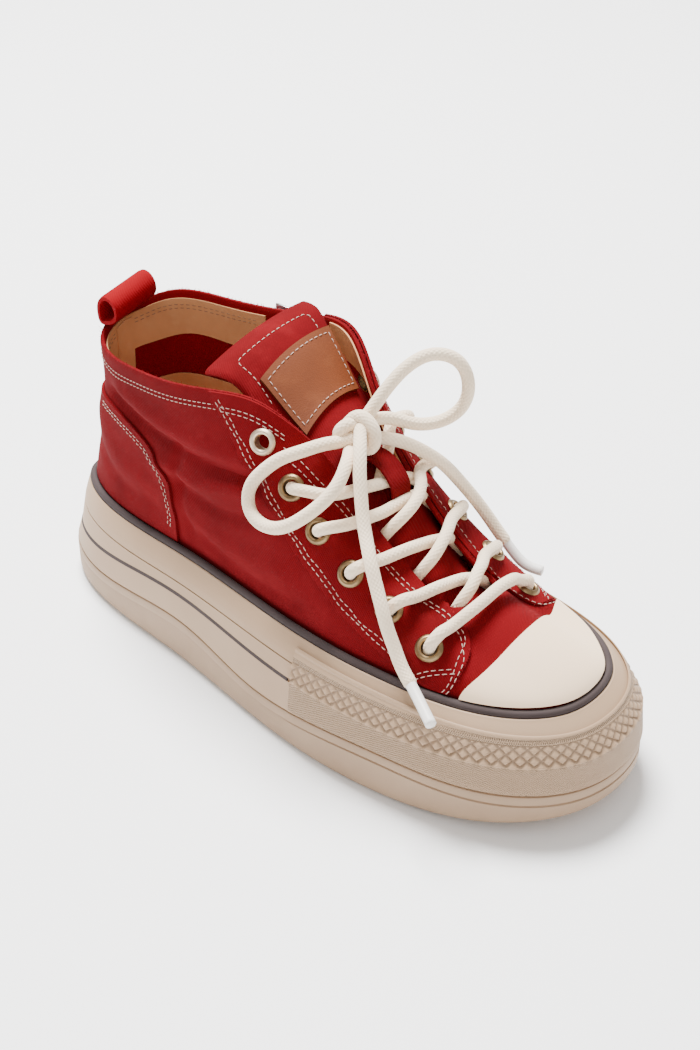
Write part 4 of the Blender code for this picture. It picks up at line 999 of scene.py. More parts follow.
STRANDS = {  # x, y, z of each lace from the far facing's edge to its eyelet, by eyelet row
    "lateral": [
        [(172.0, 9.0, 95.5), (172.0, 1.0, 98.0), (170.5, -8.0, 99.3), (168.5, -18.0, 100.6),
         (164.0, -25.0, 100.2)],
        [(176.0, 10.0, 89.0), (177.5, 3.0, 91.5), (178.0, -4.0, 92.2), (178.0, -11.5, 92.4),
         (177.5, -18.5, 93.2), (173.5, -27.0, 92.2)],
        [(190.5, 12.5, 74.5), (192.0, 6.5, 78.0), (192.0, 0.0, 80.2), (191.5, -8.5, 82.0),
         (190.8, -17.5, 83.2), (188.5, -25.5, 82.8)],
        [(209.0, 7.5, 67.0), (207.5, 0.0, 70.5), (206.5, -8.0, 72.0), (206.8, -16.0, 74.0),
         (204.5, -24.5, 73.6)],
    ],
    "medial": [
        [(168.5, -3.0, 97.5), (165.0, 3.5, 101.5), (161.5, 10.0, 105.2), (157.5, 15.5, 109.8)],
        [(179.0, -15.5, 81.0), (181.5, -12.0, 86.2), (183.8, -8.0, 90.5), (184.0, -2.0, 93.3),
         (181.5, 4.5, 94.8), (177.5, 10.0, 95.8), (173.5, 14.0, 96.6)],
        [(194.5, -14.0, 70.5), (197.2, -11.0, 75.6), (198.7, -6.0, 80.5), (197.5, -0.5, 83.0),
         (194.3, 6.5, 83.8), (190.5, 13.0, 83.2)],
        [(212.5, -12.0, 63.8), (214.3, -9.0, 68.8), (215.0, -5.0, 72.6), (213.0, 1.0, 75.0),
         (210.0, 7.5, 74.8), (206.5, 13.0, 73.6)],
    ],
}
BAR = [  # x, y, z of the lowest lace
    (220.0, -24.0, 67.0), (222.3, -15.0, 70.4), (223.0, -7.0, 72.2), (222.5, 2.0, 72.8),
    (221.3, 10.5, 71.0), (219.0, 17.5, 66.8),
]


def make_lacing():
    for row in range(1, len(EYELETS) - 1):
        to_lateral, to_medial = (STRANDS[side][row - 1] for side in ("lateral", "medial"))
        low = strand(f"lace_to_lateral_{row}", "medial", "lateral", row, to_lateral)
        strand(f"lace_to_medial_{row}", "lateral", "medial", row, to_medial)
        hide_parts(f"lace_cross_{row}")
    last = len(EYELETS) - 1
    start = into_eyelet("lateral", last, np.array(BAR[0]))
    end = into_eyelet("medial", last, np.array(BAR[-1]))
    middle = [np.array(each) for each in BAR[1:-1]]
    bar = tube("lace_lowest_bar", smooth_path([*reversed(start), *middle, *end]),
               TIGHT_LACE / 2, LACE_WHITE)
    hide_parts("lace_bar")


def lace_cord(name, node, route, aglet=0.0):
    """One loop or end of the bow as a lace tube in place of its node, with an aglet over its tip
    if given a length.
    """
    path = smooth_path(route)
    length = np.linalg.norm(np.diff(path, axis=0), axis=1).sum()
    radius = np.full(len(path), LACE / 2)
    run = run_along(path)
    if aglet:
        radius = np.where(run > length - aglet, AGLET_WIDTH / 2 - 0.3, radius)
        tip = path[run > length - aglet - 0.8]
        cover = tube(f"{name}_aglet", tip, AGLET_WIDTH / 2, AGLET)
    made = tube(name, path, radius, LACE_WHITE)
    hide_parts(node)
    return made


# The knot is laid out along these: to the right, up and out of it.
KNOT_RIGHT, KNOT_UP, KNOT_OUT = (0.766, 0.643, 0.0), (-0.341, 0.406, 0.848), (0.545, -0.65, 0.53)
KNOT_LACE = 5.2
KNOT_CORE = (1.5, 0.5, -0.8), (4.0, 1.2, 0.0), (0.0, 3.6, 2.4)  # centre and half axes
KNOT_TURNS = {  # turns of lace in the knot: right, up, out
    "knot_wrap": [(-2.4, 4.2, 0.2), (-0.4, 6.0, 2.2), (2.2, 6.5, 4.0), (4.9, 4.6, 5.0),
                  (6.9, 1.3, 5.0), (7.3, -2.2, 4.0), (5.8, -4.8, 2.2), (3.0, -4.6, 0.2)],
    "knot_lobe": [(2.6, 2.8, 0.8), (-0.2, 3.9, 2.8), (-3.4, 3.0, 3.6), (-5.6, 0.6, 3.0),
                  (-5.2, -1.8, 1.4), (-2.6, -2.6, 0.2), (0.4, -1.8, -0.4)],
}
KNOT_STRANDS = [  # cord's route, its end in the knot, where it starts inside: right, up, out
    ("loop_lateral_root", LOOP_LATERAL, 0, (-0.4, -1.2, 3.0)),
    ("loop_lateral_return", LOOP_LATERAL, -1, (0.6, -2.4, 1.0)),
    ("loop_medial_root", LOOP_MEDIAL, 0, (2.6, 2.0, -0.6)),
    ("loop_medial_return", LOOP_MEDIAL, -1, (2.6, 2.4, -1.4)),
    ("end_lateral_root", END_LATERAL, 0, (2.5, 2.6, 4.2)),
    ("end_medial_root", END_MEDIAL, 0, (2.0, -0.4, -1.0)),
]


def make_bow():
    at = (tongue_at(KNOT_AT[0]), KNOT_AT[1])
    middle = tongue(*at, LACE_CLEAR + KNOT_HALF[2])
    axes = np.array((KNOT_RIGHT, KNOT_UP, KNOT_OUT))
    for name, turn in KNOT_TURNS.items():
        tube(name, smooth_path(middle + np.array(turn) @ axes, 0.6), KNOT_LACE / 2, LACE_WHITE, 20)
    turn = np.linspace(0, 2 * math.pi, 61)[:-1]
    centre, first, second = np.array(KNOT_CORE)
    line = centre + np.cos(turn)[:, None] * first + np.sin(turn)[:, None] * second
    core = ring_tube("knot_core", middle + line @ axes, KNOT_LACE / 2, LACE_WHITE)
    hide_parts("lace_knot")
    for name, route, end, inside in KNOT_STRANDS:
        route = np.array(route)
        first, second = (route[0], route[1]) if end == 0 else (route[-1], route[-2])
        start = middle + np.array(inside) @ axes
        step = (second - first) / np.linalg.norm(second - first)
        path = smooth_path([start, first - step * 1.6, first, first + step * 1.2], 0.8)
        tube(name, path, LACE / 2 - 0.04, LACE_WHITE)
    lace_cord("loop_lateral", "lace_loop_lateral", LOOP_LATERAL)
    lace_cord("loop_medial", "lace_loop_medial", LOOP_MEDIAL)
    lace_cord("end_lateral", "lace_end_lateral", END_LATERAL, AGLET_LENGTH)
    lace_cord("end_medial", "lace_end_medial", END_MEDIAL, AGLET_LENGTH)


def ring_tube(name, line, radius, finish, sides=16):
    """A closed turn of lace."""
    along = unit(np.roll(line, -1, axis=0) - np.roll(line, 1, axis=0))
    away = line - line.mean(axis=0)
    side = unit(away - along * (away * along).sum(axis=1)[:, None])
    other = np.cross(along, side)
    turn = turns(sides)
    rings = line[:, None] + radius * (np.cos(turn)[None, :, None] * side[:, None]
                                      + np.sin(turn)[None, :, None] * other[:, None])
    run = np.arange(len(line)) * np.linalg.norm(line[1] - line[0])
    uv = np.stack(np.broadcast_arrays(run[:, None], turn[None] * radius), axis=2) * MM
    faces = grid_faces(*rings.shape[:2], True, True)
    return facing_out(piece(name, rings, faces, finish, 60.0, uv))


make_lacing()
make_bow()


# ---- Sole --------------------------------------------------------------------------------
def make_outsole():
    low = spring(EDGE_X)
    fade = 0.15 + 0.45 * np.clip((EDGE_X - 150) / 50, 0, 1)
    rings = [(3.0, low), (1.6, low + 0.35), (0.6, low + 1.2), (0.15, low + 2.2), (0.0, low + 3.2),
             (0.0, GROOVE - 4.8), (fade, GROOVE - 4.4), (fade, GROOVE - 4.0),
             (0.0, GROOVE - 3.6), (0.0, GROOVE - 1.1), (0.3, GROOVE - 0.4), (1.0, GROOVE)]
    made = layer_piece("outsole_rubber", np.array([ring(U, *each) for each in rings]), TREAD)
    form = bmesh.new()
    for x in (*np.arange(22.0, 76.0, LUG_PITCH), *np.arange(123.0, 260.0, LUG_PITCH)):
        for medial in (False, True):
            edge = plan(station(x, medial), np.array(LUG_MARGIN))[0][1]
            add_tread_groove(form, x, 3.0 if medial else -3.0, edge)
    grooves = helper("tread_grooves", form)
    boolean(made, grooves, "DIFFERENCE")
    settle(made, [grooves])
    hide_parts("outsole")


def make_midsole():
    wall = np.where(IN_BUMPER, BUMPER - BUMPER_PROUD + GAP, 0.0)
    low = GROOVE + GAP
    groove = STRIPE_GROOVE / 2
    rings = [
        (wall + 0.8, low), (wall + 0.25, low + 0.3), (wall, low + 0.9), (wall, STRIPE - groove),
        (wall + STRIPE_DEPTH, STRIPE - groove), (wall + STRIPE_DEPTH, STRIPE + groove),
        (wall, STRIPE + groove), (wall, DECK), (INSIDE + 0.4, DECK),
    ]
    made = layer_piece("midsole_wall", np.array([ring(U, *each) for each in rings]), RUBBER)
    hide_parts("midsole")


def make_foxing():
    inner = SHELF + PIPING + GAP
    t = TOP_Z
    side = np.where(IN_BUMPER, BUMPER - BUMPER_PROUD + GAP, 0.0)
    rim = np.where(IN_BUMPER, 1.9, 1.4)
    bands = [
        (side + 0.5, t - FOXING_DROP), (side, t - FOXING_DROP + 0.5), (side, t - 6.2),
        (side + (rim - side) * 0.4, t - 5.0), (rim, t - 4.0 + 0.5 * IN_BUMPER),
        (rim + 1.2, t - 3.0 + 0.4 * IN_BUMPER),
        (SHELF - 3.0, t - 2.2), (SHELF - 1.4, t - 1.8), (SHELF - GAP, t - 2.1),
        (SHELF - GAP, t - PIPING - GAP), (inner, t - PIPING - GAP), (inner, t - FOXING_DROP),
    ]
    made = band_piece("foxing_band", stacked(U, bands), RUBBER)
    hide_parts("foxing")


def make_piping():
    turn = turns(14)
    radius = PIPING / 2
    bands = [(SHELF + radius + radius * math.cos(a), TOP_Z - radius + radius * math.sin(a))
             for a in turn]
    made = band_piece("piping_cord", stacked(U, bands), DARK, sharp=80)
    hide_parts("piping")


def make_bumper():
    """Raised band round the toe: a rounded rib, a knurled strip, a band of diamonds, a wall."""
    start, end = station(BUMPER_START), station(BUMPER_START, medial=True)
    u = np.linspace(start, end, 900)
    x = edge_x(u)
    t, groove = along_sole(1, x), along_sole(3, x)
    out, back = -BUMPER_PROUD, BUMPER - BUMPER_PROUD
    flat, _ = plan(u, np.zeros(len(u)))
    run = run_along(flat)
    low = groove + GAP + 0.6
    one = np.ones(len(u))
    bands = [(one * back, low), (one * (out + 0.5), low), (one * out, low + 0.5)]
    shares = np.linspace(0, 1, 6)[1:-1]
    bands += [(one * out, low + 0.5 + (BAND_LOW - 0.6 - low - 0.5) * share) for share in shares]
    bands.append((one * (out - 0.25), BAND_LOW - 0.5 * one))
    for z in np.linspace(BAND_LOW, BAND_HIGH, 30):
        a = (run / DIAMOND + (z - BAND_LOW) / DIAMOND_HEIGHT) % 1
        b = (run / DIAMOND - (z - BAND_LOW) / DIAMOND_HEIGHT) % 1
        pillow = np.minimum(np.minimum(a, 1 - a), np.minimum(b, 1 - b)) * 2
        pillow = np.sin(np.clip(pillow / 0.8, 0, 1) * math.pi / 2)
        bands.append((out + 0.85 - DIAMOND_DEPTH * pillow, z * one))
    bands += [
        (one * (out + 1.1), BAND_HIGH + 0.35 * one), (one * (out - 0.1), BAND_HIGH + 0.7 * one),
        (one * (out - 0.05), t - 3.9), (one * (out + 0.7), t - 3.1), (one * (out + 1.0), t - 2.8),
        (one * (out + 0.5), t - 2.2), (one * (out + 0.65), t - 1.5), (one * (out + 1.3), t - 1.1),
        (one * (out + 2.0), t - 1.35), (one * (out + 2.5), t - 2.2), (one * (out + 2.7), t - 3.6),
        (one * back, t - 4.8),
    ]
    sections = stacked(u, bands)
    nominal = np.stack([np.broadcast_to(each[1], len(u)) for each in bands], axis=1)
    uv = np.stack([np.broadcast_to(run[:, None], nominal.shape), nominal], axis=2) * MM
    made = band_piece("toe_band", sections, WALL_RUBBER, closed=False, sharp=60, uv=uv)
    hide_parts("toe_bumper")


def make_pinstripe():
    lateral = np.append(U[1 : REAR - 1], station(STRIPE_END))
    medial = np.append(station(STRIPE_END, medial=True), U[N - REAR + 2 :])
    u = np.concatenate([medial - 2, [0.0], lateral])
    z = along_sole(4, edge_x(u))
    half = STRIPE_GROOVE / 2 - 0.05
    bands = [(-0.1, z - half), (-0.1, z + half), (STRIPE_DEPTH - GAP, z + half),
             (STRIPE_DEPTH - GAP, z - half)]
    made = band_piece("stripe_line", stacked(u, bands), DARK,
                      closed=False)
    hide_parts("pinstripe")


def make_insole():
    low = TOP_Z - FOXING_DROP
    rings = [(INSIDE + 0.4, low), (INSIDE + 0.4, low + INSOLE - 0.8), (INSIDE + 1.2, low + INSOLE)]
    made = layer_piece("insole_pad", np.array([ring(U, *each) for each in rings]), LINING)
    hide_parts("insole")


make_outsole()
make_midsole()
make_foxing()
make_piping()
make_bumper()
make_pinstripe()
make_insole()


# ---- Upper -------------------------------------------------------------------------------
FOLDS = [  # side, x and z of one end, x and z of the other, half width, height
    ("lateral", (43.0, 95.5), (131.0, 96.5), 3.2, -2.4),
    ("lateral", (50.0, 101.5), (126.0, 103.5), 4.5, 1.4),
    ("lateral", (80.0, 82.0), (124.0, 90.5), 3.6, 1.8),
    ("lateral", (92.0, 76.0), (140.0, 84.0), 3.4, -1.7),
    ("lateral", (90.0, 66.0), (150.0, 66.0), 5.0, 1.3),
    ("lateral", (104.0, 57.0), (158.0, 57.0), 3.4, -1.1),
    ("lateral", (88.5, 88.0), (92.5, 60.0), 3.0, -1.4),
    ("lateral", (26.0, 80.0), (60.0, 66.0), 7.0, 1.2),
    ("lateral", (30.0, 64.0), (66.0, 60.0), 4.0, -0.9),
    ("medial", (92.0, 100.0), (130.0, 86.0), 6.0, -1.1),
    ("medial", (95.0, 74.0), (142.0, 62.0), 6.0, 1.1),
    ("medial", (36.0, 80.0), (66.0, 68.0), 7.0, 1.0),
]
ZIP_FLAT = 8.0  # no folds this near the zip; they are whole again at twice the distance


def folds(u, v):
    """Soft troughs and ridges of the worn canvas, millimetres off the plain form."""
    at = upper(u, v)
    lift = np.zeros(u.shape)
    lateral = (u % 2) < 1
    for side, (x0, z0), (x1, z1), half, height in FOLDS:
        run = np.array((x1 - x0, z1 - z0))
        length = np.linalg.norm(run)
        run = run / length
        dx, dz = at[..., 0] - x0, at[..., 2] - z0
        along = dx * run[0] + dz * run[1]
        bow = 3.0 * np.sin(math.pi * np.clip(along / length, 0, 1))
        across = -dx * run[1] + dz * run[0] + bow
        past = np.maximum(np.maximum(-along, along - length), 0)
        fade = np.exp(-(across**2) / half**2 - past**2 / 64.0)
        lift += height * fade * (lateral if side == "lateral" else ~lateral)
    keep = np.clip(v / 0.12, 0, 1) * np.clip((1 - v) / 0.08, 0, 1)
    from_zip = np.linalg.norm(at - upper(np.full(u.shape, 2 - ZIP_AT), v), axis=-1)
    return lift * keep * np.clip((from_zip - ZIP_FLAT) / ZIP_FLAT, 0, 1)


def eyelet_holes():
    form = bmesh.new()
    for side in ("lateral", "medial"):
        for k in range(len(EYELETS)):
            point, out = eyelet_axis(side, k)
            bmesh.ops.create_cone(
                form, cap_ends=True, segments=24, radius1=EYELET_HOLE * MM,
                radius2=EYELET_HOLE * MM, depth=16 * MM,
                matrix=matrix_at(place(point), out, (1, 0, 0)),
            )
    return helper("eyelet_holes", form)


def wall_grid(u, rows, start=None):
    """(u, v) over the wall; start is the lowest v at each station, or the skirt's foot."""
    share = np.linspace(0, 1, rows)
    if start is None:
        v = np.concatenate([np.array([-1.0, -0.5]), share])
        return np.meshgrid(u, v, indexing="ij")
    v = start[:, None] + (1 - start[:, None]) * share
    return np.repeat(u[:, None], rows, axis=1), v


def above_piping(u):
    fine = np.linspace(0, 0.4, 401)
    heights = upper(u[:, None], fine[None, :])[..., 2]
    return fine[np.argmax(heights > along_sole(1, edge_x(u))[:, None] + OVERLAY_CLEAR, axis=1)]


def make_upper():
    u, v = wall_grid(np.linspace(0, 2, 361)[:-1], 56)
    lift = folds(u, v)
    roll = 0.5 * np.clip((v - 0.985) / 0.015, 0, 1) ** 2
    made = shell_piece("upper_canvas", upper(u, v, lift - roll), upper(u, v, lift - WALL + roll),
                       [CANVAS, INNER], wrap=True, inner_finish=1)
    holes = eyelet_holes()
    boolean(made, holes, "DIFFERENCE")
    settle(made, [holes])
    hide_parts("upper")


def overlay(name, node, u, rows, outlines, thickness, finish, holes=False):
    grid_u, v = wall_grid(u, rows, above_piping(u))
    lift = folds(grid_u, v)
    made = shell_piece(name, upper(grid_u, v, lift + GAP + thickness),
                       upper(grid_u, v, lift + GAP - 0.15), finish)
    helpers = []
    for k, (outline, axis, span) in enumerate(outlines):
        helpers.append(prism(f"{name}_outline_{k}", outline, axis, span))
        boolean(made, helpers[-1], "INTERSECT")
    if holes:
        helpers.append(eyelet_holes())
        boolean(made, helpers[-1], "DIFFERENCE")
    settle(made, helpers)
    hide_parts(node)
    return made


CAP_LINE = [  # y, x of the cap's rear edge
    (-42.0, 231.0), (-34.0, 234.0), (-28.0, 236.5), (-21.0, 238.0), (-7.0, 239.0), (3.0, 238.3),
    (12.0, 236.0), (22.0, 232.3), (31.0, 227.5), (40.0, 223.0),
]


def make_toe_cap():
    seam = [(x, y) for y, x in even(through(CAP_LINE), 60)]
    ahead = LENGTH + 20
    outline = [(ahead, CAP_SEAM[0][0] - 20), *seam, (ahead, CAP_SEAM[-1][0] + 20)]
    u = np.linspace(station(205), station(205, medial=True), 150)
    overlay("toe_cap_rubber", "toe_cap", u, 50, [(outline, 2, (0, 120))], CAP_WALL, CAP)


def make_heel_counter():
    edge = even(through(COUNTER_EDGE), 60)
    outline = [(-20, COUNTER_EDGE[0][1]), *edge, (COUNTER_EDGE[-1][0] - 1.0, 30), (-20, 30)]
    u = np.linspace(station(118, medial=True) - 2, station(118), 180)
    overlay("heel_counter_canvas", "heel_counter", u, 50, [(outline, 1, (-70, 70))], OVERLAY,
            CANVAS)


def make_facing(side):
    lateral = side == "lateral"
    ends = (station(90, not lateral), station(270, not lateral))
    u = np.linspace(*ends, 170)
    sign = -1 if lateral else 1
    seam = even(through(FACING_EDGE), 60)
    back, top = FACING_EDGE[0][0] - 3, 160
    from_side = [(back, FACING_EDGE[0][1] + 5), *seam, (LENGTH, 30), (LENGTH, top), (back, top)]
    ends = [(row[0 if lateral else 1], sign * row[2]) for row in FACING_FRONT]
    from_above = [*even(through(ends), 50), (60, sign * 60), (60, ends[0][1])]
    outlines = [(from_side, 1, sorted((sign * 80, sign * 2))), (from_above, 2, (20, 170))]
    overlay(f"facing_{side}_canvas", f"facing_{side}", u, 60, outlines, OVERLAY, CANVAS,
            holes=True)


def make_eyelets():
    """Brass rings, all turned from one profile."""
    seat = OVERLAY + GAP + 0.05
    profile = through([
        (EYELET_BORE, -WALL - 0.8), (EYELET_BORE, 0.0), (EYELET_BORE + 0.25, seat + 0.9),
        (EYELET_BORE + 1.0, seat + 1.1), (EYELET_FLANGE - 0.9, seat + 0.55),
        (EYELET_FLANGE - 0.4, seat), (EYELET_BARREL + 0.3, seat), (EYELET_BARREL, -WALL - 0.8),
    ])(np.linspace(0, 1, 30))
    sides = 40
    turn = turns(sides)
    grid = np.stack([profile[:, :1] * np.cos(turn), profile[:, :1] * np.sin(turn),
                     np.repeat(profile[:, 1:], sides, axis=1)], axis=2)
    faces = grid_faces(*grid.shape[:2], True, True)
    for side in ("lateral", "medial"):
        for k in range(len(EYELETS)):
            point, out = eyelet_axis(side, k)
            spot = matrix_at(point, out, (1, 0, 0))
            turned = grid.reshape(-1, 3) @ np.array(spot.to_3x3()).T + point
            metal = BRASS_PALE if (side, k) == ("lateral", 0) else BRASS
            made = facing_out(piece(f"brass_ring_{side}_{k + 1}", turned, faces, metal, 60))
            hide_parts(f"eyelet_{side}_{k + 1}")


make_upper()
make_toe_cap()
make_heel_counter()
for each_side in ("lateral", "medial"):
    make_facing(each_side)
make_eyelets()


# ---- Tongue, label, strap and pull loop --------------------------------------------------
def make_tongue():
    s, q = np.meshgrid(np.linspace(0, 1, 120), np.linspace(-1, 1, 60), indexing="ij")
    rim = 0.9 * np.clip((np.abs(q) - 0.93) / 0.07, 0, 1) ** 2
    made = shell_piece("tongue_canvas", tongue(s, q, -rim), tongue(s, q, -TONGUE_WALL + rim),
                       [CANVAS, LINING], inner_finish=1)
    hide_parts("tongue")


def label_place(a, b):
    """Place on the tongue of a point of the label: a runs back along it, b across."""
    s, q = [], []
    for k, across in ((0, 1 - b), (1, b)):
        front, rear = LABEL[k]
        s.append((tongue_at(front[0]) * (1 - a) + tongue_at(rear[0]) * a) * across)
        q.append((front[1] * (1 - a) + rear[1] * a) * across)
    return s[0] + s[1], q[0] + q[1]


def make_label():
    a, b = np.meshgrid(np.linspace(0, 1, 40), np.linspace(0, 1, 50), indexing="ij")
    s, q = label_place(a, b)
    made = shell_piece("label_leather", tongue(s, q, 2 * GAP + PATCH), tongue(s, q, 0.1), LEATHER)
    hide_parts("tongue_label")


def make_keeper():
    x, rise = np.transpose(even(through(KEEPER_LINE), 60))
    s = np.array([tongue_at(each) for each in x])
    line = tongue(s, 0.0, rise)[:, [0, 2]]
    along = unit(np.gradient(line, axis=0))
    outward = np.stack([-along[:, 1], along[:, 0]], axis=1) * KEEPER
    faces = []
    for lift in (outward, 0 * outward):
        rows = [np.insert(line + lift, 1, y, axis=1)
                for y in np.linspace(-KEEPER_HALF, KEEPER_HALF, 10)]
        faces.append(np.stack(rows, axis=1))
    made = shell_piece("lace_strap", *faces, CANVAS)
    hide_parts("lace_keeper")


def make_pull_loop():
    line = even(through(PULL_LOOP, closed=True), 73)[:-1]
    along = unit(np.roll(line, -1, axis=0) - np.roll(line, 1, axis=0))
    outward = np.stack([along[:, 1], -along[:, 0]], axis=1) * WEBBING / 2
    half = PULL_WIDTH / 2
    across = np.linspace(-half, half, 20)
    loops = []
    for lift, order in ((1, across), (-1, across[::-1])):
        for y in order:
            edge = 0.75 if abs(y) == half else 1.0
            loops.append([(x, y, z + PULL_ROLL * y) for x, z in line + outward * lift * edge])
    sections = np.stack([np.array(loop) for loop in loops], axis=1)
    made = band_piece("heel_pull", sections, PULL_CANVAS, sharp=60)
    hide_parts("pull_loop")


make_tongue()
make_label()
make_keeper()
make_pull_loop()


# ---- Lining ------------------------------------------------------------------------------
LINING_FROM, LINING_TO = -0.36, 0.46  # u where the collar's lining starts and ends
LINING_TOP, LINING_BAND = 3.2, 20.0  # below the upper's top edge, from and to
LOWER_LINING, LINING_FOOT = 38.0, 70.0  # the lower lining and the heel strip, from and to
HEEL_STRIP = 0.03  # half its width, in u


def below_top(u, distance):
    """v on the wall at a distance down from its top edge, for each u."""
    fine = np.linspace(0.1, 1, 181)
    at = upper(u[:, None], fine[None, :])
    steps = np.linalg.norm(np.diff(at, axis=1), axis=2)
    left = np.cumsum(steps[:, ::-1], axis=1)[:, ::-1]
    left = np.hstack([left, np.zeros((len(u), 1))])
    wanted = np.broadcast_to(distance, len(u))
    return np.array([np.interp(-d, -row, fine) for d, row in zip(wanted, left)])


def lining_panel(name, u, top, bottom, depth, finish, thickness=0.6, rows=16):
    """A panel on the inside of the upper between two distances from its top edge."""
    shares = np.linspace(0, 1, rows)
    v = np.stack([below_top(u, top + (bottom - top) * share) for share in shares], axis=1)
    grid_u = np.repeat(u[:, None], rows, axis=1)
    lift = folds(grid_u, v)
    outer = upper(grid_u, v, lift - WALL - depth)
    inner = upper(grid_u, v, lift - WALL - depth - thickness)
    return shell_piece(name, outer, inner, finish)


def make_lining():
    u = np.linspace(LINING_FROM, LINING_TO, 150)
    foot = LINING_BAND * np.interp(u, (LINING_FROM, LINING_FROM + 0.05, 0.0, 0.06),
                                   (0.5, 0.95, 1.0, 1.25))
    foot += 0.5 * np.sin(u * 37)
    lining_panel("collar_lining", u, LINING_TOP, foot, 0.05, LINING)
    strip = np.linspace(-HEEL_STRIP, HEEL_STRIP, 16)
    lining_panel("heel_lining", strip, 4.4, LINING_FOOT, 0.7, LINING, rows=40)
    medial = np.linspace(edge_at("medial", 170.0), edge_at("medial", 114.0), 60)
    lining_panel("throat_lining_medial", medial, 1.2, 15.0, 0.05, LINING)
    low = np.linspace(-0.3, 0.02, 80)
    lining_panel("lower_lining", low, LOWER_LINING, LINING_FOOT, 0.05, LINING, rows=30)


# ---- Seams -------------------------------------------------------------------------------
THROAT_SEAM = [  # x, distance from the middle
    (141.0, 26.5), (148.0, 24.5), (157.0, 23.5), (166.0, 22.5), (178.0, 22.5), (189.0, 22.5),
    (201.0, 21.5), (212.0, 19.0), (219.0, 19.2), (225.0, 21.5), (228.8, 24.8), (230.2, 29.0),
    (229.0, 36.0),
]
SEAM_SPACE = 1.7  # between the two threads of a double seam
COLLAR_SEAM, FACING_SEAM, COUNTER_SEAM = 5.5, 1.8, -3.0  # distances from the edges
TONGUE_HEM = 8.0  # from the tongue's top edge down to its seam
TONGUE_RUN = 135.0  # length of the tongue


def stitches(name, runs, finish, length=1.7, space=0.95, thick=0.31, sides=6):
    """Short sewn threads along runs of points and outward directions, as one mesh."""
    dip = np.array((-0.7, 0.45, 0.7, 0.45, -0.7)) * thick / 2
    turn = turns(sides) + math.pi / sides
    points, faces = [], []
    count = 0
    for line, out in runs:
        run = run_along(line)
        total = max(int(run[-1] / (length + space)), 1)
        pitch = run[-1] / total
        for k in range(total):
            at = np.linspace(k * pitch, k * pitch + pitch - space, 5)
            spot = np.stack([np.interp(at, run, line[:, c]) for c in range(3)], axis=1)
            normal = unit(np.stack([np.interp(at, run, out[:, c]) for c in range(3)], axis=1))
            along = spot[-1] - spot[0]
            side = np.cross(along / np.linalg.norm(along), normal)
            spot = spot + normal * (dip[:, None] + 0.12)
            width = np.array((0.7, 1.0, 1.05, 1.0, 0.7))[:, None, None] * thick / 2
            ringed = spot[:, None] + width * (
                np.cos(turn)[None, :, None] * side[:, None] * 1.15
                + np.sin(turn)[None, :, None] * normal[:, None] * 0.8
            )
            points.append(ringed.reshape(-1, 3))
            faces += grid_faces(5, sides, False, True, start=count)
            faces += [tuple(count + j for j in range(sides)),
                      tuple(count + 4 * sides + j for j in reversed(range(sides)))]
            count += 5 * sides
    return piece(name, np.concatenate(points), faces, finish, 80.0)


def seam_run_on(u, v, lift, inside=False):
    """Points and outward directions along a line on the upper, or on its inside."""
    sign = -1.0 if inside else 1.0
    lift = folds(u, v) - WALL - lift if inside else folds(u, v) + lift
    return upper(u, v, lift), upper(u, v, lift + sign) - upper(u, v, lift)


def seam_run(uv, lift):
    return seam_run_on(*even(through(uv), 240).T, lift)


def tongue_run(places, lift):
    share = np.linspace(0, len(places) - 1, 400)
    s, q = (np.interp(share, np.arange(len(places)), each) for each in np.transpose(places))
    low = tongue(s, q, lift)
    return low, tongue(s, q, lift + 1.0) - low


def beside(points, distance):
    """A line in a plane moved sideways, to its left."""
    line = even(through(points), 40)
    along = unit(np.gradient(line, axis=0))
    return line + np.stack([-along[:, 1], along[:, 0]], axis=1) * distance


def on_side(side, points, count=26):
    picked = np.linspace(0, len(points) - 1, count).round().astype(int)
    return find_side(side, np.array(points)[picked])


def on_vamp(side, points):
    sign, low, high = (-1, 0.45, 1.0) if side == "lateral" else (1, 1.0, 1.55)
    return nearest(low, high, [0, 1], [(x, sign * y) for x, y in points])


def collar_run(u_from, u_to, distance, lift=0.0, inside=False):
    """A seam at a distance down from the collar's edge, over the facings where they lie."""
    u = np.linspace(u_from, u_to, 160)
    v = below_top(u, distance)
    at = upper(u, v)
    x_edge = np.interp(-at[:, 2], -np.array(FACING_EDGE)[:, 1], np.array(FACING_EDGE)[:, 0])
    raised = np.where(at[:, 0] > x_edge + 1.0, GAP + OVERLAY, 0.0) if not inside else 0.0
    return seam_run_on(u, v, lift + raised, inside)


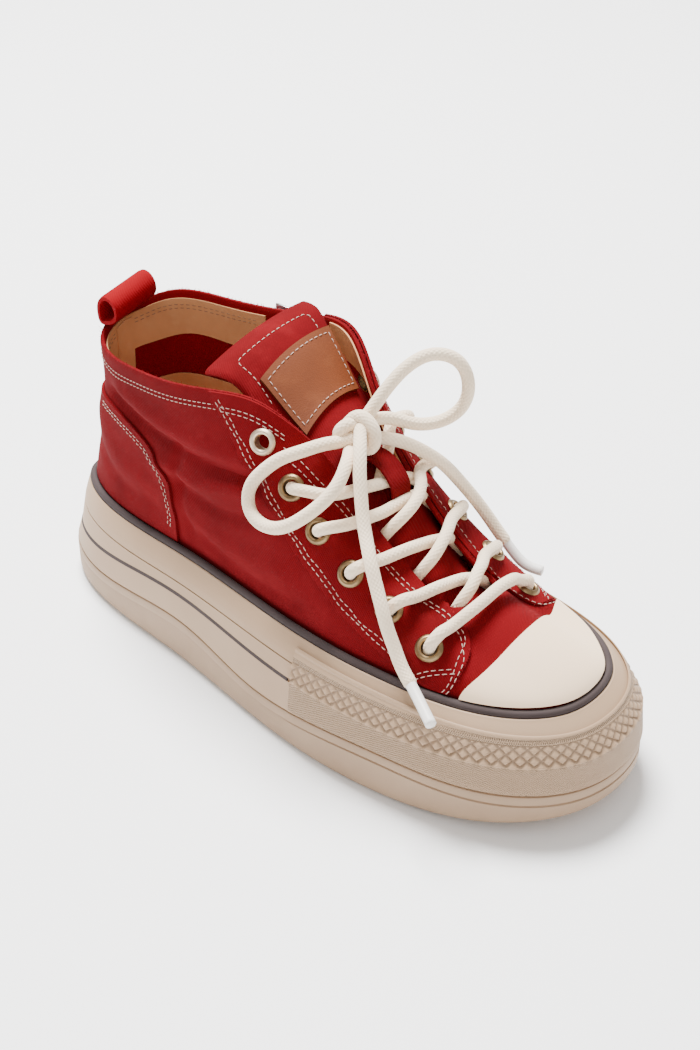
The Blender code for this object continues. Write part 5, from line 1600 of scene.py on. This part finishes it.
def make_seams():
    panel = GAP + OVERLAY
    runs = []
    foot = [*COUNTER_EDGE, (84.0, 52.0)]
    for side in ("lateral", "medial"):
        for distance in (COUNTER_SEAM, COUNTER_SEAM - SEAM_SPACE):
            line = beside(foot[1:], distance)
            runs.append(seam_run(on_side(side, line), panel))
        for distance in (FACING_SEAM, FACING_SEAM + SEAM_SPACE):
            line = beside(FACING_EDGE[:-1], distance)
            runs.append(seam_run(on_side(side, line), panel))
    corner = {side: edge_at(side, 140.0) for side in ("lateral", "medial")}
    zip_u = 2 - ZIP_AT
    for distance in (COLLAR_SEAM, COLLAR_SEAM + SEAM_SPACE):
        runs.append(collar_run(0.02, corner["lateral"], distance))
        runs.append(collar_run(corner["medial"], zip_u - 0.05, distance))
        runs.append(collar_run(zip_u + 0.05, 1.98, distance))
        inward = distance - COLLAR_SEAM
        line = [(x, y - inward) for x, y in THROAT_SEAM[:10]]
        round_front = [(x - inward, y + inward * 0.4) for x, y in THROAT_SEAM[10:]]
        runs.append(seam_run(on_vamp("lateral", line + round_front), panel))
        if inward:
            continue
        medial = [(x - 3.0 * (x > 215), y - 3.0) for x, y in THROAT_SEAM]
        runs.append(seam_run(on_vamp("medial", medial), panel))
    for shift in (0.0, SEAM_SPACE):
        line = [(214.5 - shift, 37.5), (223.0 - shift, 33.5), (229.8 - shift, 29.2)]
        runs.append(seam_run(on_vamp("lateral", line), panel))
        line = [(x - 4.0, y - 1.0) for x, y in line]
        runs.append(seam_run(on_vamp("medial", line), panel))
    stitches("upper_stitches", runs, THREAD)

    inside = [collar_run(LINING_FROM + 0.02, LINING_TO - 0.02, distance, 0.6, True)
              for distance in (6.0, 7.6)]
    stitches("lining_stitches", inside, THREAD_TAN)

    rear, side_q = 1 - TONGUE_HEM / TONGUE_RUN, 0.74
    bend = [(-0.030, 0.0), (-0.012, 0.012), (-0.003, 0.05), (0.0, 0.11)]
    places = [(tongue_at(128), -side_q), *((rear + a, b - side_q) for a, b in bend)]
    places += [(rear + a, side_q - b) for a, b in reversed(bend)]
    places.append((tongue_at(124), side_q))
    runs = [tongue_run(places, 0.0)]
    runs += label_runs()
    stitches("tongue_stitches", runs, THREAD)


def label_runs():
    a, b = 0.09, 0.05
    corners = [(a, b), (1 - a, b), (1 - a, 1 - b), (a, 1 - b), (a, b)]
    runs = []
    for start, end in zip(corners, corners[1:]):
        share = np.linspace(0, 1, 9)[:, None]
        line = np.array(start) * (1 - share) + np.array(end) * share
        runs.append(tongue_run([label_place(*each) for each in line], 2 * GAP + PATCH))
    return runs


make_lining()
make_seams()


# ---- Frayed edges ------------------------------------------------------------------------
def fibres(name, runs, finish, seed, per_mm=1.6, length=1.3, thick=0.09):
    """Short loose threads standing out of a cut edge, as one mesh."""
    chance = np.random.default_rng(seed)
    points, faces, count = [], [], 0
    turn = turns(3)
    for line, out in runs:
        run = run_along(line)
        total = int(run[-1] * per_mm)
        at = np.sort(chance.uniform(0, run[-1], total))
        spot = np.stack([np.interp(at, run, line[:, c]) for c in range(3)], axis=1)
        way = np.stack([np.interp(at, run, out[:, c]) for c in range(3)], axis=1)
        way = unit(way + chance.normal(0, 0.7, way.shape))
        reach = length * chance.uniform(0.3, 1.0, total)[:, None]
        bend = chance.normal(0, 0.35, way.shape) * reach
        side = unit(np.cross(way, (0.3, 0.5, 0.8)))
        other = np.cross(way, side)
        stages = [spot - way * 0.2, spot + way * reach * 0.5 + bend * 0.25,
                  spot + way * reach + bend]
        for k in range(total):
            for stage, width in zip(stages, (1.0, 0.8, 0.4)):
                points.append(stage[k] + thick * width * (np.cos(turn)[:, None] * side[k]
                                                          + np.sin(turn)[:, None] * other[k]))
            faces += grid_faces(3, 3, False, True, start=count)
            faces.append((count + 6, count + 7, count + 8))
            count += 9
    return piece(name, np.concatenate(points), faces, finish, 80.0)


def edge_run(uv, lift, away):
    """A cut edge: points along it and the direction its loose threads take."""
    u, v = even(through(uv), 200).T
    lift = folds(u, v) + lift
    at = upper(u, v, lift)
    normal = upper(u, v, lift + 1.0) - at
    along = unit(np.gradient(at, axis=0))
    return at, np.cross(along, normal) * away + normal * 0.5


def make_frays():
    runs = []
    rim = np.linspace(0, 2, 700)
    top = upper(rim, np.ones(len(rim)), -WALL / 4)
    runs.append((top, np.tile((0.0, 0.0, 1.0), (len(rim), 1))))
    panel = GAP + OVERLAY * 0.7
    for side in ("lateral", "medial"):
        runs.append(edge_run(on_side(side, beside(COUNTER_EDGE[1:], 0.0)), panel, 1.0))
        runs.append(edge_run(on_side(side, beside(FACING_EDGE[:-1], 0.0)), panel, -1.0))
        front = [(row[0 if side == "lateral" else 1], row[2]) for row in FACING_FRONT]
        runs.append(edge_run(on_vamp(side, front), panel, 1.0))
    fibres("frayed_canvas", runs, FRAY, 7)
    q = np.linspace(-0.98, 0.98, 160)
    rear = tongue(np.full(160, 0.998), q, -TONGUE_WALL / 2)
    s = np.linspace(tongue_at(150), 0.99, 200)
    sides = [tongue(s, np.full(200, each), -TONGUE_WALL / 2) for each in (-0.99, 0.99)]
    runs = [(rear, np.tile((-1.0, 0.0, 0.3), (160, 1)))]
    runs += [(line, np.tile((0.0, sign, 0.3), (200, 1))) for line, sign in zip(sides, (-1.0, 1.0))]
    fibres("frayed_tongue", runs, FRAY, 11, length=0.9)


make_frays()


# ---- Zip ---------------------------------------------------------------------------------
def block(form, size, centre, taper=1.0, round_off=0.35):
    """A softened box in a bmesh, in millimetres; `taper` narrows its outer face."""
    made = bmesh.ops.create_cube(form, size=1.0)
    for vert in made["verts"]:
        shrink = taper if vert.co.z > 0 else 1.0
        vert.co.x, vert.co.y = vert.co.x * shrink, vert.co.y * shrink
        vert.co = Vector(a * b * MM + c * MM for a, b, c in zip(vert.co, size, centre))
    edges = {edge for vert in made["verts"] for edge in vert.link_edges}
    bmesh.ops.bevel(form, geom=list(edges), offset=round_off * MM, segments=3, profile=0.5,
                    affect="EDGES")


def zip_frame(v):
    """A frame on the zip chain's face: Z out of the upper, X back along the shoe, Y up."""
    u = 2 - ZIP_AT
    lift = ZIP_LIFT + GAP + CHAIN_HEIGHT
    point, above = (upper(u, np.array(v), np.array(lift + step)) for step in (0.0, 1.0))
    return matrix_at(place(point), above - point, (-1, 0, 0))


def form_piece(name, form, matrix, finish, body=BODY):
    mesh = bpy.data.meshes.new(name)
    form.transform(matrix)
    bmesh.ops.recalc_face_normals(form, faces=form.faces)
    form.to_mesh(mesh)
    form.free()
    mesh.materials.append(finish)
    smooth(mesh, 40.0)
    made = linked(name, mesh)
    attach(made, body)
    return made


def foot_step(u):
    """Millimetres along the upper for each step of 1 in u."""
    ends = upper(np.array([u - 0.01, u + 0.01]), np.array([0.9, 0.9]))
    return np.linalg.norm(ends[1] - ends[0]) / 0.02


def zip_strip(name, from_centre, to_centre, low, high, finish, rows=60, crown=0.0):
    """A strip beside or over the zip, between two distances from its middle."""
    u = 2 - ZIP_AT
    step = foot_step(u)
    columns = np.linspace(from_centre, to_centre, 7)
    grid_u, v = np.meshgrid(u + columns / step, np.linspace(0.04, 0.985, rows), indexing="ij")
    rise = crown * np.sin(np.linspace(0, math.pi, 7))[:, None]
    outer = upper(grid_u, v, high + rise)
    return shell_piece(name, outer, upper(grid_u, v, low + 0 * rise), finish, sharp=60)


TOOTH, TOOTH_PITCH, TOOTH_SHIFT = (3.6, 0.75, 0.95), 1.25, 0.55  # width, length, height
ZIP_FOLD = (0.9, 4.2)  # the canvas folded back beside the tape, from its edge
ZIP_SEAM = 5.4


def make_zip():
    base = ZIP_LIFT + GAP
    half = CHAIN_WIDTH / 2
    tape = zip_strip("zip_tape", -half - 1.2, half + 1.2, 0.05, 0.45, COIL)
    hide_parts("zip_chain")
    near, far = half + ZIP_FOLD[0], half + ZIP_FOLD[1]
    zip_strip("zip_fold_front", -far, -near, 0.05, 1.0, CANVAS, crown=0.5)
    zip_strip("zip_fold_rear", near, far, 0.05, 1.0, CANVAS, crown=0.5)
    teeth = bmesh.new()
    v = np.linspace(0.05, 0.985, 400)
    line = upper(np.full(400, 2 - ZIP_AT), v, base)
    run = run_along(line)
    for k, at in enumerate(np.arange(0.8, run[-1] - 0.4, TOOTH_PITCH)):
        spot = zip_frame(float(np.interp(at, run, v)))
        tooth = bmesh.new()
        side = TOOTH_SHIFT if k % 2 else -TOOTH_SHIFT
        block(tooth, TOOTH, (side, 0, -CHAIN_HEIGHT + 0.45), round_off=0.3)
        tooth.transform(spot)
        scratch = bpy.data.meshes.new("tooth")
        tooth.to_mesh(scratch)
        tooth.free()
        teeth.from_mesh(scratch)
        bpy.data.meshes.remove(scratch)
    form_piece("zip_teeth", teeth, Matrix.Identity(4), COIL)

    spot = zip_frame(SLIDER_V)
    form = bmesh.new()
    block(form, (SLIDER[0], SLIDER[1], SLIDER[2] * 0.9), (0, 0, GAP + SLIDER[2] / 2), 0.8, 0.6)
    top = GAP + SLIDER[2]
    for post in (2.05, -2.05):
        block(form, (BRIDGE_WIDTH, 1.5, 2.6), (0, post, top + 0.9), round_off=0.4)
    block(form, (BRIDGE_WIDTH, 5.6, 1.1), (0, 0, top + 3.05), round_off=0.4)
    slider = form_piece("slider_body", form, spot, STEEL)
    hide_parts("zip_slider")

    pin = spot @ Matrix.Translation((0, 0, PIN_HEIGHT * MM))
    half = TAB_THICKNESS / 2
    form = bmesh.new()
    rail = TAB_RIM
    edge = TAB_WIDTH / 2 - rail / 2
    for side in (-edge, edge):
        block(form, (rail, TAB_EYE + 2 * half + 1.2, TAB_THICKNESS), (side, -TAB_EYE / 2, 0),
              round_off=0.3)
    block(form, (TAB_WIDTH, 1.2, TAB_THICKNESS), (0, 0, 0), round_off=0.3)
    low = half - TAB_LENGTH
    start = -half - TAB_EYE
    block(form, (TAB_WIDTH, start - low, TAB_THICKNESS), (0, (start + low) / 2, 0), round_off=0.35)
    block(form, (TAB_WIDTH - 2.2, start - low - 2.6, 0.3), (0, (start + low) / 2, half + 0.05),
          round_off=0.12)
    tab = form_piece("pull_plate", form, pin, STEEL, "pull_tab")
    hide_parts("zip_pull_tab")

    runs = []
    u = 2 - ZIP_AT
    for away in (-CHAIN_WIDTH / 2 - ZIP_SEAM, CHAIN_WIDTH / 2 + ZIP_SEAM):
        v = np.linspace(0.08, 0.95, 120)
        runs.append(seam_run_on(np.full(120, u + away / foot_step(u)), v, 0.0))
    stitches("zip_stitches", runs, THREAD)


make_zip()
